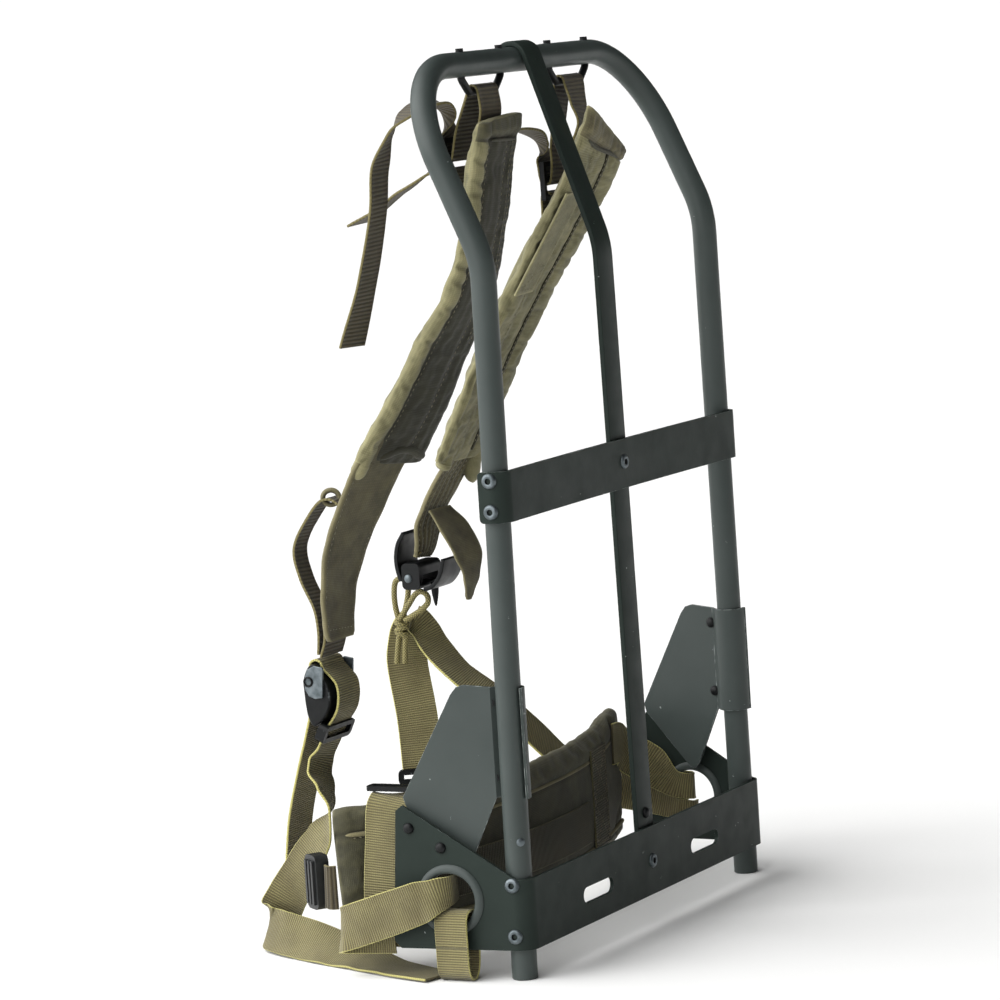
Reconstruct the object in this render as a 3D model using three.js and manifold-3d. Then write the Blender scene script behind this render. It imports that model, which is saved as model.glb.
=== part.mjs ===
// Military pack frame with shoulder straps, kidney pad and lower webbing.
// Millimetres, +Z up, +Y towards the wearer's back, +X to the wearer's right.
import * as THREE from 'three';
import { mergeVertices } from 'three/addons/utils/BufferGeometryUtils.js';
import Module from 'manifold-3d';

const wasm = await Module();
wasm.setup();

// Driving sizes of the metal frame
const TUBE_R = 7.15;
const TUBE_WALL = 1.6;
const TUBE_SIDES = 12;
const LEG_FOOT_X = 147.5;
const KNEE = { x: 142.6, z: 396, rightZ: 402, radius: 60 };
const TOP = { x: 143.5, y: 44, z: 500.7, radius: 54 };
const SEAT = 0.3;
const SHEET = 2.3;
const SLEEVE_SHEET = 1.5;
const WRAP_R = TUBE_R + 2 * SEAT;
const BAND = { low: 253.3, high: 281.5, endY: 6, bow: 2.4 };
const PLATE = { low: 17.25, high: 56.7, frontY: 72.7, flareX: 162.5, wingZ: 97.5, wingY: 66 };
const SLOT = { x: 71, z: 34, length: 38, height: 9 };
const RING = { y: 37, z: 45, bore: 15, hole: 17, rim: 20, half: 3.2, segments: 16 };
const GUSSET = { low: 100.5, high: 162, frontY: 62, frontX: 158, bendY: 10 };
const BAR = { width: 20, thick: 3, low: 20, kneeY: -2, kneeZ: 395, wrapEnd: 0.5 };
const LOOP = { inner: 23, outer: 70.5, rightInner: 38, bar: 485, shoulder: 8, rod: 2.2 };
const RIVET = { head: 4.2, rise: 2.1, shank: 2.2, hole: 2.9, sides: 8 };

// Driving sizes of the cloth and webbing
const WEB = 1.6;
const WEB_WIDTH = 25;
const SPAN_STEPS = 2;
const PAD_THICK = 11;
const KIDNEY_THICK = 10;
const CORD_R = 1.75;

const PAINT = { color: 0x3b4240, roughness: 0.55, metalness: 0.3 };
const BLACK = { color: 0x17191a, roughness: 0.5, metalness: 0.1 };
const STEEL = { color: 0x8a9096, roughness: 0.4, metalness: 0.9 };
const OLIVE = { color: 0x6b6547, roughness: 0.9, metalness: 0 };
const CLOTH = { color: 0x5c5a42, roughness: 0.95, metalness: 0 };
const CORD = { color: 0x8d8656, roughness: 0.9, metalness: 0 };

const rucksack = new THREE.Group();

// Puts one named piece into the group.
function addPiece(name, geometry, finish, parent = rucksack) {
  const piece = new THREE.Mesh(geometry, new THREE.MeshStandardMaterial(finish));
  piece.name = name;
  parent.add(piece);
  return piece;
}

// Turns a closed geometry into a solid for joins and cuts.
function solid(geometry) {
  const bare = geometry.clone();
  bare.deleteAttribute('normal');
  bare.deleteAttribute('uv');
  const merged = mergeVertices(bare.index ? bare.toNonIndexed() : bare, 1e-4);
  return new wasm.Manifold(new wasm.Mesh({
    numProp: 3,
    vertProperties: new Float32Array(merged.attributes.position.array),
    triVerts: new Uint32Array(merged.index.array),
  }));
}

// Turns a solid back into a geometry.
function geometryOf(body) {
  const mesh = body.getMesh();
  const geometry = new THREE.BufferGeometry();
  geometry.setAttribute('position', new THREE.BufferAttribute(mesh.vertProperties, 3));
  geometry.setIndex(new THREE.BufferAttribute(mesh.triVerts, 1));
  geometry.computeVertexNormals();
  return geometry;
}

function cut(base, ...tools) {
  let body = solid(base);
  for (const tool of tools) body = body.subtract(solid(tool));
  return geometryOf(body);
}

function join(first, ...others) {
  let body = solid(first);
  for (const other of others) body = body.add(solid(other));
  return geometryOf(body);
}

function common(a, b) {
  return geometryOf(solid(a).intersect(solid(b)));
}

// Joins a row of matching outlines into one closed body, or a ring when closed.
function loft(sections, closed = false) {
  const sides = sections[0].length;
  const points = sections.flat();
  const faces = [];
  const rows = closed ? sections.length : sections.length - 1;
  for (let row = 0; row < rows; row += 1) {
    const next = (row + 1) % sections.length;
    for (let side = 0; side < sides; side += 1) {
      const turn = (side + 1) % sides;
      const a = row * sides + side;
      const b = row * sides + turn;
      const c = next * sides + turn;
      const d = next * sides + side;
      faces.push([a, b, c], [a, c, d]);
    }
  }
  if (!closed) {
    const last = (sections.length - 1) * sides;
    for (let side = 1; side < sides - 1; side += 1) {
      faces.push([0, side + 1, side], [last, last + side, last + side + 1]);
    }
  }
  let volume = 0;
  for (const [a, b, c] of faces) {
    volume += points[a].dot(new THREE.Vector3().crossVectors(points[b], points[c]));
  }
  const order = volume < 0 ? (face) => [face[0], face[2], face[1]] : (face) => face;
  const geometry = new THREE.BufferGeometry().setFromPoints(points);
  geometry.setIndex(faces.flatMap(order));
  geometry.computeVertexNormals();
  return geometry;
}

// Rounds the inner corners of a polyline with arcs of the given radii.
function filletPath(corners, radii, arcStep = 0.2) {
  const path = [corners[0].clone()];
  for (let i = 1; i < corners.length - 1; i += 1) {
    const back = new THREE.Vector3().subVectors(corners[i - 1], corners[i]).normalize();
    const ahead = new THREE.Vector3().subVectors(corners[i + 1], corners[i]).normalize();
    const bend = Math.PI - back.angleTo(ahead);
    const reach = radii[i] * Math.tan(bend / 2);
    const middle = back.clone().add(ahead).normalize();
    const centre = corners[i].clone().addScaledVector(middle, radii[i] / Math.cos(bend / 2));
    const start = corners[i].clone().addScaledVector(back, reach).sub(centre);
    const axis = new THREE.Vector3().crossVectors(ahead, back).normalize();
    const steps = Math.max(2, Math.ceil(bend / arcStep));
    for (let step = 0; step <= steps; step += 1) {
      path.push(start.clone().applyAxisAngle(axis, (bend * step) / steps).add(centre));
    }
  }
  path.push(corners[corners.length - 1].clone());
  return path;
}

// Sweeps a round section along a path without letting it twist.
function roundSweep(path, radius, sides) {
  const tangents = path.map((point, i) => {
    const before = path[Math.max(i - 1, 0)];
    const after = path[Math.min(i + 1, path.length - 1)];
    return new THREE.Vector3().subVectors(after, before).normalize();
  });
  const start = Math.abs(tangents[0].x) < 0.8 ? [1, 0, 0] : [0, 1, 0];
  const side = new THREE.Vector3(...start);
  const sections = path.map((point, i) => {
    side.addScaledVector(tangents[i], -side.dot(tangents[i])).normalize();
    const up = new THREE.Vector3().crossVectors(tangents[i], side);
    return Array.from({ length: sides }, (_, k) => {
      const angle = (2 * Math.PI * k) / sides;
      return point.clone()
        .addScaledVector(side, radius * Math.cos(angle))
        .addScaledVector(up, radius * Math.sin(angle));
    });
  });
  return loft(sections);
}

// Reads one column of a table at a place between its rows.
function columnAt(rows, name, place) {
  const low = Math.min(Math.floor(place), rows.length - 2);
  const ease = THREE.MathUtils.smoothstep(place - low, 0, 1);
  return THREE.MathUtils.lerp(rows[low][name], rows[low + 1][name], ease);
}

// Stations of a strap. Each row has a place, the heading of the strap's width (turn, degrees
// from +X), how far that width is tipped up (lift, degrees) and, where they change, a width,
// a thickness and how far the section slants along the strap (slant, per unit of width).
function strapStations(table, steps, closed) {
  const rows = table.map((row) => ({
    turn: 0, lift: 0, slant: 0, width: WEB_WIDTH, thick: WEB, ...row,
  }));
  if (closed) rows.push({ ...rows[0] });
  const knots = table.map((row) => new THREE.Vector3(row.x, row.y, row.z));
  const curve = new THREE.CatmullRomCurve3(knots, closed, 'centripetal');
  const count = (rows.length - 1) * steps;
  const stations = [];
  for (let i = 0; i <= count - (closed ? 1 : 0); i += 1) {
    const place = i / steps;
    const tangent = curve.getTangent(i / count);
    const turn = THREE.MathUtils.degToRad(columnAt(rows, 'turn', place));
    const lift = THREE.MathUtils.degToRad(columnAt(rows, 'lift', place));
    const across = new THREE.Vector3(
      Math.cos(turn) * Math.cos(lift), Math.sin(turn) * Math.cos(lift), Math.sin(lift));
    across.addScaledVector(tangent, -across.dot(tangent)).normalize();
    stations.push({
      point: curve.getPoint(i / count),
      across,
      out: new THREE.Vector3().crossVectors(tangent, across),
      slant: tangent.clone().multiplyScalar(columnAt(rows, 'slant', place)),
      width: columnAt(rows, 'width', place),
      thick: columnAt(rows, 'thick', place),
    });
  }
  return stations;
}

// Rows of a strap bent round a rung that runs along X, between two angles in degrees.
function roundRung(x, y, z, radius, from, to, bends = 4) {
  return Array.from({ length: bends + 1 }, (_, i) => {
    const angle = THREE.MathUtils.degToRad(from + ((to - from) * i) / bends);
    return { x, y: y + radius * Math.cos(angle), z: z + radius * Math.sin(angle) };
  });
}

// A flat webbing or cloth strip.
const FLAT = [[0.5, 0.5], [-0.5, 0.5], [-0.5, -0.5], [0.5, -0.5]];
// A padded strip: thin seams, a crowned middle and a rolled border along both edges.
const PADDED = [
  [0.5, 0], [0.47, 0.42], [0.38, 0.5], [0.3, 0.4], [0, 0.46], [-0.3, 0.4],
  [-0.38, 0.5], [-0.47, 0.42], [-0.5, 0], [-0.42, -0.4], [0, -0.5], [0.42, -0.4],
];
// The rounded back pad.
const PILLOW = [
  [0.5, 0], [0.48, 0.34], [0.4, 0.5], [0, 0.46], [-0.4, 0.5], [-0.48, 0.34],
  [-0.5, 0], [-0.48, -0.34], [-0.4, -0.5], [0, -0.46], [0.4, -0.5], [0.48, -0.34],
];

function strap(table, { outline = FLAT, steps = SPAN_STEPS, closed = false } = {}) {
  const sections = strapStations(table, steps, closed).map((station) => outline.map(
    ([u, v]) => station.point.clone()
      .addScaledVector(station.across, u * station.width)
      .addScaledVector(station.slant, u * station.width)
      .addScaledVector(station.out, v * station.thick)));
  return loft(sections, closed);
}

// Outline of a bent sheet: a path of points thickened to both sides.
function sheetShape(path, thickness) {
  const left = [];
  const right = [];
  path.forEach((point, i) => {
    const before = path[Math.max(i - 1, 0)];
    const after = path[Math.min(i + 1, path.length - 1)];
    const along = new THREE.Vector2(after.x - before.x, after.y - before.y).normalize();
    const normal = new THREE.Vector2(-along.y, along.x).multiplyScalar(thickness / 2);
    left.push(new THREE.Vector2(point.x + normal.x, point.y + normal.y));
    right.push(new THREE.Vector2(point.x - normal.x, point.y - normal.y));
  });
  return new THREE.Shape([...left, ...right.reverse()]);
}

function extruded(shape, depth) {
  return new THREE.ExtrudeGeometry(shape, { depth, bevelEnabled: false, curveSegments: 3 });
}

// A plan outline raised between two heights.
function raised(shape, low, high) {
  const geometry = extruded(shape, high - low);
  return geometry.translate(0, 0, low);
}

// A side outline in Y and Z, run along X between two planes.
function alongX(shape, low, high) {
  const geometry = extruded(shape, high - low);
  geometry.applyMatrix4(new THREE.Matrix4().set(0, 0, 1, low, 1, 0, 0, 0, 0, 1, 0, 0, 0, 0, 0, 1));
  return geometry;
}

// A front outline in X and Z, run along Y between two planes.
function alongY(shape, low, high) {
  const geometry = extruded(shape, high - low);
  return geometry.rotateX(Math.PI / 2).translate(0, high, 0);
}

function polygon(points) {
  return new THREE.Shape(points.map(([a, b]) => new THREE.Vector2(a, b)));
}

function roundedBox(width, height, radius) {
  const shape = new THREE.Shape();
  const w = width / 2;
  const h = height / 2;
  shape.absarc(w - radius, h - radius, radius, 0, Math.PI / 2);
  shape.absarc(radius - w, h - radius, radius, Math.PI / 2, Math.PI);
  shape.absarc(radius - w, radius - h, radius, Math.PI, 1.5 * Math.PI);
  shape.absarc(w - radius, radius - h, radius, 1.5 * Math.PI, 2 * Math.PI);
  shape.closePath();
  return shape;
}

// Points of an arc in plan about a leg's axis.
function arcPoints(centreX, centreY, radius, from, to, steps) {
  return Array.from({ length: steps + 1 }, (_, i) => {
    const angle = from + ((to - from) * i) / steps;
    return new THREE.Vector3(centreX + radius * Math.cos(angle), centreY + radius * Math.sin(angle), 0);
  });
}

function legX(z) {
  return LEG_FOOT_X - ((LEG_FOOT_X - KNEE.x) * z) / KNEE.z;
}

// A pin along a direction, for drilling.
function drill(at, direction, radius, length, sides = 6) {
  const pin = new THREE.CylinderGeometry(radius, radius, length, sides);
  pin.applyQuaternion(new THREE.Quaternion().setFromUnitVectors(new THREE.Vector3(0, 1, 0), direction));
  return pin.translate(at.x, at.y, at.z);
}

// Rivets: each seat is the outer face of a sheet, the way the head looks and the sheet's depth.
const rivetSeats = [];
function rivetSeat(name, x, y, z, direction, depth = SHEET) {
  const seat = { name, at: new THREE.Vector3(x, y, z), direction: direction.normalize(), depth };
  rivetSeats.push(seat);
  return drill(seat.at, seat.direction, RIVET.hole, 4 * depth);
}

// A rivet head formed fast on one sheet.
function fastHead(x, y, z, direction) {
  const profile = [
    [0, -0.8], [RIVET.head, -0.8], [RIVET.head, 0.4], [0.7 * RIVET.head, 1.6], [0, RIVET.rise],
  ].map(([r, h]) => new THREE.Vector2(r, h));
  const head = new THREE.LatheGeometry(profile, RIVET.sides);
  head.applyQuaternion(new THREE.Quaternion().setFromUnitVectors(
    new THREE.Vector3(0, 1, 0), direction.normalize()));
  return head.translate(x, y, z);
}

function rivetGeometry(depth) {
  const crown = [0.85, 0.4].map((angle) => new THREE.Vector2(
    RIVET.head * Math.sin(angle * Math.PI / 2), SEAT + RIVET.rise * Math.cos(angle * Math.PI / 2)));
  const profile = [
    new THREE.Vector2(0, -depth),
    new THREE.Vector2(RIVET.shank, -depth),
    new THREE.Vector2(RIVET.shank, SEAT),
    new THREE.Vector2(RIVET.head, SEAT),
    ...crown,
    new THREE.Vector2(0, SEAT + RIVET.rise),
  ];
  return new THREE.LatheGeometry(profile, RIVET.sides);
}

// Tube: two legs, slanted shoulders and a straight top, open at both feet.
const legLine = [
  new THREE.Vector3(-LEG_FOOT_X, 0, 0),
  new THREE.Vector3(-KNEE.x, 0, KNEE.z),
  new THREE.Vector3(-TOP.x, TOP.y, TOP.z),
  new THREE.Vector3(TOP.x, TOP.y, TOP.z),
  new THREE.Vector3(KNEE.x, 0, KNEE.rightZ),
  new THREE.Vector3(LEG_FOOT_X, 0, 0),
];
const tubePath = filletPath(legLine, [0, KNEE.radius, TOP.radius, TOP.radius, KNEE.radius, 0], 0.29);
const borePath = tubePath.map((point) => point.clone());
const FOOT_CLEAR = 5;
borePath[0].z -= FOOT_CLEAR;
borePath[borePath.length - 1].z -= FOOT_CLEAR;
const LOOP_HOLE = LOOP.rod + 2 * SEAT;
const rightOuter = LOOP.rightInner + LOOP.outer - LOOP.inner;
const loopPosts = [-LOOP.outer, -LOOP.inner, LOOP.rightInner, rightOuter];
const loopHoles = loopPosts.map((x) => drill(
  new THREE.Vector3(x, TOP.y, TOP.z), new THREE.Vector3(0, 0, 1), LOOP_HOLE, 6 * TUBE_R, 8));
addPiece('frame_tube', cut(
  roundSweep(tubePath, TUBE_R, TUBE_SIDES),
  roundSweep(borePath, TUBE_R - TUBE_WALL, TUBE_SIDES),
  ...loopHoles), PAINT);

// Middle band, wrapped round the outside of both legs.
const bandLegX = legX((BAND.low + BAND.high) / 2);
const bandR = WRAP_R + SHEET / 2;
const bandPath = [
  new THREE.Vector3(-bandLegX - bandR, BAND.endY, 0),
  ...arcPoints(-bandLegX, 0, bandR, Math.PI, 1.5 * Math.PI, 6),
  ...[-90, -30, 30, 90].map((x) => new THREE.Vector3(x, BAND.bow * (1 - (x / bandLegX) ** 2) - bandR, 0)),
  ...arcPoints(bandLegX, 0, bandR, -0.5 * Math.PI, 0, 6),
  new THREE.Vector3(bandLegX + bandR, BAND.endY, 0),
];
const bandFaceX = bandLegX + WRAP_R + SHEET;
const bandRear = -WRAP_R - SHEET;
const BAND_RIVET_Z = { upper: 276.6, lower: 259.6 };
const bandDrills = [];
for (const [level, z] of Object.entries(BAND_RIVET_Z)) {
  for (const [side, sign] of [['left', -1], ['right', 1]]) {
    bandDrills.push(rivetSeat(`rivet_band_${side}_${level}`, sign * bandFaceX, -1, z,
      new THREE.Vector3(sign, 0, 0)));
  }
}
const rearward = new THREE.Vector3(0, -1, 0);
addPiece('mid_band', join(
  cut(raised(sheetShape(bandPath, SHEET), BAND.low, BAND.high), ...bandDrills),
  fastHead(0, bandRear + BAND.bow, 268.5, rearward)), PAINT);

// Lower plate: a sheet bent round both legs, with slots, wings and ring holes.
const plateLegX = legX((PLATE.low + PLATE.high) / 2);
const platePath = [
  new THREE.Vector3(-PLATE.flareX + SHEET / 2, PLATE.frontY + 10, 0),
  ...arcPoints(-plateLegX, 0, bandR, Math.PI, 1.5 * Math.PI, 6),
  ...arcPoints(plateLegX, 0, bandR, -0.5 * Math.PI, 0, 6),
  new THREE.Vector3(PLATE.flareX - SHEET / 2, PLATE.frontY + 10, 0),
];
const plateSide = polygon([
  [-20, PLATE.low], [PLATE.frontY - 4, PLATE.low], [PLATE.frontY, PLATE.low + 4],
  [PLATE.wingY + 1, PLATE.wingZ - 3], [PLATE.wingY - 3, PLATE.wingZ],
  [-3, PLATE.high], [-20, PLATE.high],
]);
const plateOuterX = plateLegX + WRAP_R + SHEET;
const flareSlope = (PLATE.flareX - plateOuterX) / (PLATE.frontY + 10);
const flareAngle = Math.atan(flareSlope);
function plateFaceX(y) {
  return plateOuterX + flareSlope * y;
}
const plateDrills = [];
for (const [side, sign] of [['left', -1], ['right', 1]]) {
  const outward = new THREE.Vector3(sign * Math.cos(flareAngle), -Math.sin(flareAngle), 0);
  for (const [level, z] of [['upper', 53.6], ['lower', 25.1]]) {
    plateDrills.push(rivetSeat(
      `rivet_foot_${side}_${level}`, sign * plateFaceX(-0.5), -0.5, z, outward.clone()));
  }
  for (const [place, y, z] of [['front', 59.5, 84.8], ['rear', 40.8, 74.1]]) {
    plateDrills.push(rivetSeat(`rivet_wing_${side}_${place}`, sign * plateFaceX(y), y, z, outward.clone()));
  }
  plateDrills.push(drill(
    new THREE.Vector3(sign * (plateFaceX(RING.y) - SHEET / 2), RING.y, RING.z),
    outward.clone().normalize(), RING.hole, 20, RING.segments));
  plateDrills.push(alongY(roundedBox(SLOT.length, SLOT.height, SLOT.height / 2 - 0.01), -20, 0)
    .translate(sign * SLOT.x, 0, SLOT.z));
}
addPiece('lower_plate', join(
  cut(
    common(raised(sheetShape(platePath, SHEET), PLATE.low, 110), alongX(plateSide, -200, 200)),
    ...plateDrills),
  fastHead(0, bandRear, 36.8, rearward)), PAINT);

// Ring grommets pressed into the side holes of the lower plate.
const grip = SHEET / 2 + SEAT;
const ringProfile = [
  [RING.bore, -RING.half + 1], [RING.bore + 1, -RING.half], [RING.rim - 1, -RING.half],
  [RING.rim, -grip], [RING.hole - 0.4, -grip], [RING.hole - 0.4, grip], [RING.rim, grip],
  [RING.rim - 1, RING.half], [RING.bore + 1, RING.half], [RING.bore, RING.half - 1],
  [RING.bore, -RING.half + 1],
].map(([r, h]) => new THREE.Vector2(r, h));
for (const [side, sign] of [['left', -1], ['right', 1]]) {
  const seat = new THREE.Group();
  seat.position.set(sign * (plateFaceX(RING.y) - SHEET / 2), RING.y, RING.z);
  seat.rotation.z = sign * -flareAngle - Math.PI / 2;
  rucksack.add(seat);
  addPiece(`ring_${side}`, new THREE.LatheGeometry(ringProfile, RING.segments), PAINT, seat);
}

// Gussets: a plate inside each wing, ending in a half sleeve round the inner side of the leg.
const gussetSide = polygon([
  [-12, GUSSET.low], [10, GUSSET.low], [27, 66], [30.5, 62.8], [33.5, 63.5],
  [63.5, 96], [65, 101], [34, 158], [30.5, 162.2], [26, 163.5], [9, GUSSET.high], [-12, GUSSET.high],
]);
for (const [side, sign] of [['left', -1], ['right', 1]]) {
  const axisX = legX((GUSSET.low + GUSSET.high) / 2);
  const sleeveR = WRAP_R + SLEEVE_SHEET / 2;
  const wrap = arcPoints(0, 0, sleeveR, -1.75, 1.0, 10).map(
    (point) => new THREE.Vector3(sign * axisX - sign * point.x, point.y, 0));
  const lip = new THREE.Vector3(sign * (axisX + 2.6), -sleeveR - 0.6, 0);
  const bend = new THREE.Vector3(sign * axisX, GUSSET.bendY + 1, 0);
  const front = new THREE.Vector3(sign * (GUSSET.frontX - SHEET), GUSSET.frontY + 8, 0);
  const plan = sheetShape([lip, ...wrap, bend, front], SLEEVE_SHEET);
  const drills = [];
  const heads = [153, 111.4].map((z) => fastHead(
    sign * (axisX - 0.6), 12.6, z, new THREE.Vector3(-sign, 0.2, 0)));
  for (const [y, z] of [[59.5, 84.8], [40.8, 74.1]]) {
    drills.push(drill(new THREE.Vector3(sign * (GUSSET.frontX - 4), y, z),
      new THREE.Vector3(sign, 0, 0), RIVET.hole, 20));
  }
  addPiece(`gusset_${side}`, join(
    cut(common(raised(plan, 55, 170), alongX(gussetSide, -200, 200)), ...drills), ...heads), PAINT);
}

// Centre bar: flat strip in front of the band, bent at the knee and hooked over the top tube.
const barFront = -WRAP_R + SEAT + BAR.thick / 2;
const hookR = TUBE_R + SEAT + BAR.thick / 2;
const toTop = new THREE.Vector2(TOP.y - BAR.kneeY, TOP.z - BAR.kneeZ);
const slant = Math.atan2(toTop.x, toTop.y) - Math.asin(hookR / toTop.length());
const barKnee = filletPath([
  new THREE.Vector3(barFront, BAR.low, 0),
  new THREE.Vector3(BAR.kneeY, BAR.kneeZ, 0),
  new THREE.Vector3(TOP.y - hookR * Math.cos(slant), TOP.z + hookR * Math.sin(slant), 0),
], [0, 60, 0], 0.1);
const hook = arcPoints(TOP.y, TOP.z, hookR, Math.PI - slant, BAR.wrapEnd, 8).slice(1);
const barSlantY = (z) => BAR.kneeY + (z - BAR.kneeZ) * Math.tan(slant);
const barHole = drill(new THREE.Vector3(0, barSlantY(471), 471), new THREE.Vector3(0, 1, 0), 1.9, 30);
const bar = alongX(sheetShape([...barKnee, ...hook], BAR.thick), -BAR.width / 2, BAR.width / 2);
addPiece('centre_bar', join(
  cut(bar, barHole), fastHead(0, barFront - BAR.thick / 2 + 0.4, 64.6, rearward)), PAINT);

// Strap loops: a black rod hung below the top tube, its posts riveted over on top.
const POST_RISE = 1.8;
for (const [side, low, high] of [
  ['left', -LOOP.outer, -LOOP.inner],
  ['right', LOOP.rightInner, rightOuter],
]) {
  const corners = [
    [low, TOP.z + TUBE_R + POST_RISE],
    [low, TOP.z - TUBE_R - 1],
    [low + LOOP.shoulder, LOOP.bar],
    [high - LOOP.shoulder, LOOP.bar],
    [high, TOP.z - TUBE_R - 1],
    [high, TOP.z + TUBE_R + POST_RISE],
  ].map(([x, z]) => new THREE.Vector3(x, TOP.y, z));
  const rod = filletPath(corners, [0, 3, 4, 4, 3, 0], 0.8);
  addPiece(`strap_loop_${side}`, roundSweep(rod, LOOP.rod, 8), BLACK);
}

for (const seat of rivetSeats) {
  const holder = new THREE.Group();
  holder.position.copy(seat.at);
  holder.quaternion.setFromUnitVectors(new THREE.Vector3(0, 1, 0), seat.direction);
  rucksack.add(holder);
  addPiece(seat.name, rivetGeometry(seat.depth), PAINT, holder);
}

// Shoulder pads: a row for each section from the top hem to the lower end.
const padLeft = [
  { x: -47, y: 33.6, z: 470, turn: 4, slant: -0.16, thick: 6 },
  { x: -48, y: 35.4, z: 461, turn: 4, slant: -0.12, thick: 10 },
  { x: -50, y: 39, z: 445, turn: 4 },
  { x: -54, y: 43.4, z: 412, turn: 4 },
  { x: -57, y: 55, z: 373.5 },
  { x: -60, y: 74, z: 340, turn: -7 },
  { x: -63.5, y: 92, z: 307, turn: -12 },
  { x: -66, y: 105, z: 285.5, turn: -15, thick: 9 },
  { x: -66, y: 110, z: 277, turn: -15, thick: 6 },
];
const padRight = [
  { x: 53, y: 16.6, z: 458, lift: -8, slant: 0.46, thick: 6 },
  { x: 53.5, y: 21, z: 449, lift: -7, slant: 0.36, thick: 10 },
  { x: 54, y: 28.8, z: 433.8, lift: -6, slant: 0.12 },
  { x: 57, y: 52.4, z: 398.4, lift: -4 },
  { x: 60, y: 77, z: 364 },
  { x: 63, y: 100.6, z: 328.6 },
  { x: 67, y: 121.7, z: 292 },
  { x: 69, y: 132.5, z: 272, thick: 9 },
  { x: 69, y: 137, z: 263, thick: 6 },
];
const PAD_WIDTH = 58;
for (const [side, rows] of [['left', padLeft], ['right', padRight]]) {
  const table = rows.map((row) => ({ width: PAD_WIDTH, thick: PAD_THICK, ...row }));
  addPiece(`shoulder_pad_${side}`, strap(table, { outline: PADDED, steps: 2 }), CLOTH);
}

// Tabs below the pads, and the pointed flap that hangs behind the right one.
const tabLeft = [
  { x: -73, y: 112.4, z: 275.6, turn: -15, width: 42 },
  { x: -75, y: 123, z: 256, turn: -12, width: 42 },
  { x: -80, y: 134, z: 228, turn: -6, width: 42 },
  { x: -83, y: 138.8, z: 203, width: 38 },
  { x: -84, y: 139.4, z: 181, width: 31 },
];
const tabRight = [
  { x: 71, y: 137.6, z: 262.1, width: 36 },
  { x: 71, y: 149, z: 246, width: 34, turn: 4 },
  { x: 73.5, y: 161, z: 226, width: 32, turn: 12 },
  { x: 74.5, y: 166, z: 209, width: 26, turn: 12 },
];
const flapRight = [
  { x: 72, y: 153.4, z: 233, width: 28, turn: 9 },
  { x: 72, y: 144, z: 221, width: 31, turn: 5 },
  { x: 72, y: 135.6, z: 206, width: 28 },
  { x: 72, y: 134.6, z: 192, width: 17 },
  { x: 72, y: 137.4, z: 177.5, width: 5 },
];
const TAB_THICK = 3;
addPiece('shoulder_tab_left', strap(tabLeft.map((row) => ({ thick: TAB_THICK, ...row }))), CLOTH);
addPiece('shoulder_tab_right', strap(tabRight.map((row) => ({ thick: TAB_THICK, ...row }))), CLOTH);
addPiece('tab_flap_right', strap(flapRight, { steps: 2 }), CLOTH);

// Hangers: from the pad's face over the strap loop, down to the slider, and out as a loose tail.
const sliderLeft = { x: -46.5, y: 62.5, z: 450 };
const sliderRight = { x: 56, y: 53.4, z: 429.5 };
const TURN_R = 3.5;
const LOOP_R = LOOP.rod + SEAT + WEB / 2 + 0.2;
const hangerLeft = [
  { x: -46.5, y: 45.2, z: 450 },
  { x: -46.5, y: 42, z: 463 },
  { x: -46.5, y: 39.4, z: 474 },
  ...roundRung(-46.5, TOP.y, LOOP.bar, LOOP_R, 190, -15),
  { x: -46.5, y: 51.5, z: 474 },
  { x: -46.5, y: 56, z: 463 },
  ...roundRung(-46.5, sliderLeft.y, sliderLeft.z, TURN_R, 175, 365),
  { x: -47, y: 67.2, z: 461, turn: 4 },
  { x: -51, y: 67, z: 471, turn: 25 },
  { x: -60, y: 66, z: 478, turn: 60 },
  { x: -71, y: 66.5, z: 480, turn: 75 },
  { x: -82, y: 72.5, z: 476, turn: 50 },
  { x: -89, y: 81, z: 465, turn: 22 },
  { x: -90, y: 88.6, z: 446.5, turn: 6 },
  { x: -90, y: 91.7, z: 422.6, turn: 7 },
  { x: -90, y: 101.5, z: 383.5, turn: 4 },
  { x: -90, y: 114.5, z: 346, turn: -5 },
];
const hangerRight = [
  { x: 55, y: 36, z: 435.4, lift: -7 },
  { x: 58, y: 37.4, z: 447, turn: 10, lift: -4 },
  { x: 61, y: 36.6, z: 460, turn: 18 },
  { x: 62, y: 38.4, z: 473, turn: 6 },
  ...roundRung(62, TOP.y, LOOP.bar, LOOP_R, 190, -15),
  { x: 61, y: 49.4, z: 472, turn: 8 },
  { x: 58, y: 51, z: 452, turn: 10 },
  { x: 56.4, y: 49, z: 440.5 },
  ...roundRung(56, sliderRight.y, sliderRight.z, TURN_R, 175, 365),
  { x: 55.6, y: 58.8, z: 440.5, turn: 2 },
  { x: 53, y: 61, z: 448.5, turn: 20 },
  { x: 45, y: 61.5, z: 454.5, turn: 52 },
  { x: 33, y: 61, z: 458.5, turn: 76 },
  { x: 17, y: 63.5, z: 460, turn: 70 },
  { x: 1, y: 72, z: 456, turn: 52 },
  { x: -12, y: 87, z: 445.5, turn: 36 },
  { x: -19, y: 101, z: 436, turn: 28 },
  { x: -20, y: 115, z: 428, turn: 26 },
  { x: -20, y: 130, z: 418.5, turn: 26 },
  { x: -20, y: 145, z: 411, turn: 22 },
];
addPiece('hanger_left', strap(hangerLeft), OLIVE);
addPiece('hanger_right', strap(hangerRight), OLIVE);

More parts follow.
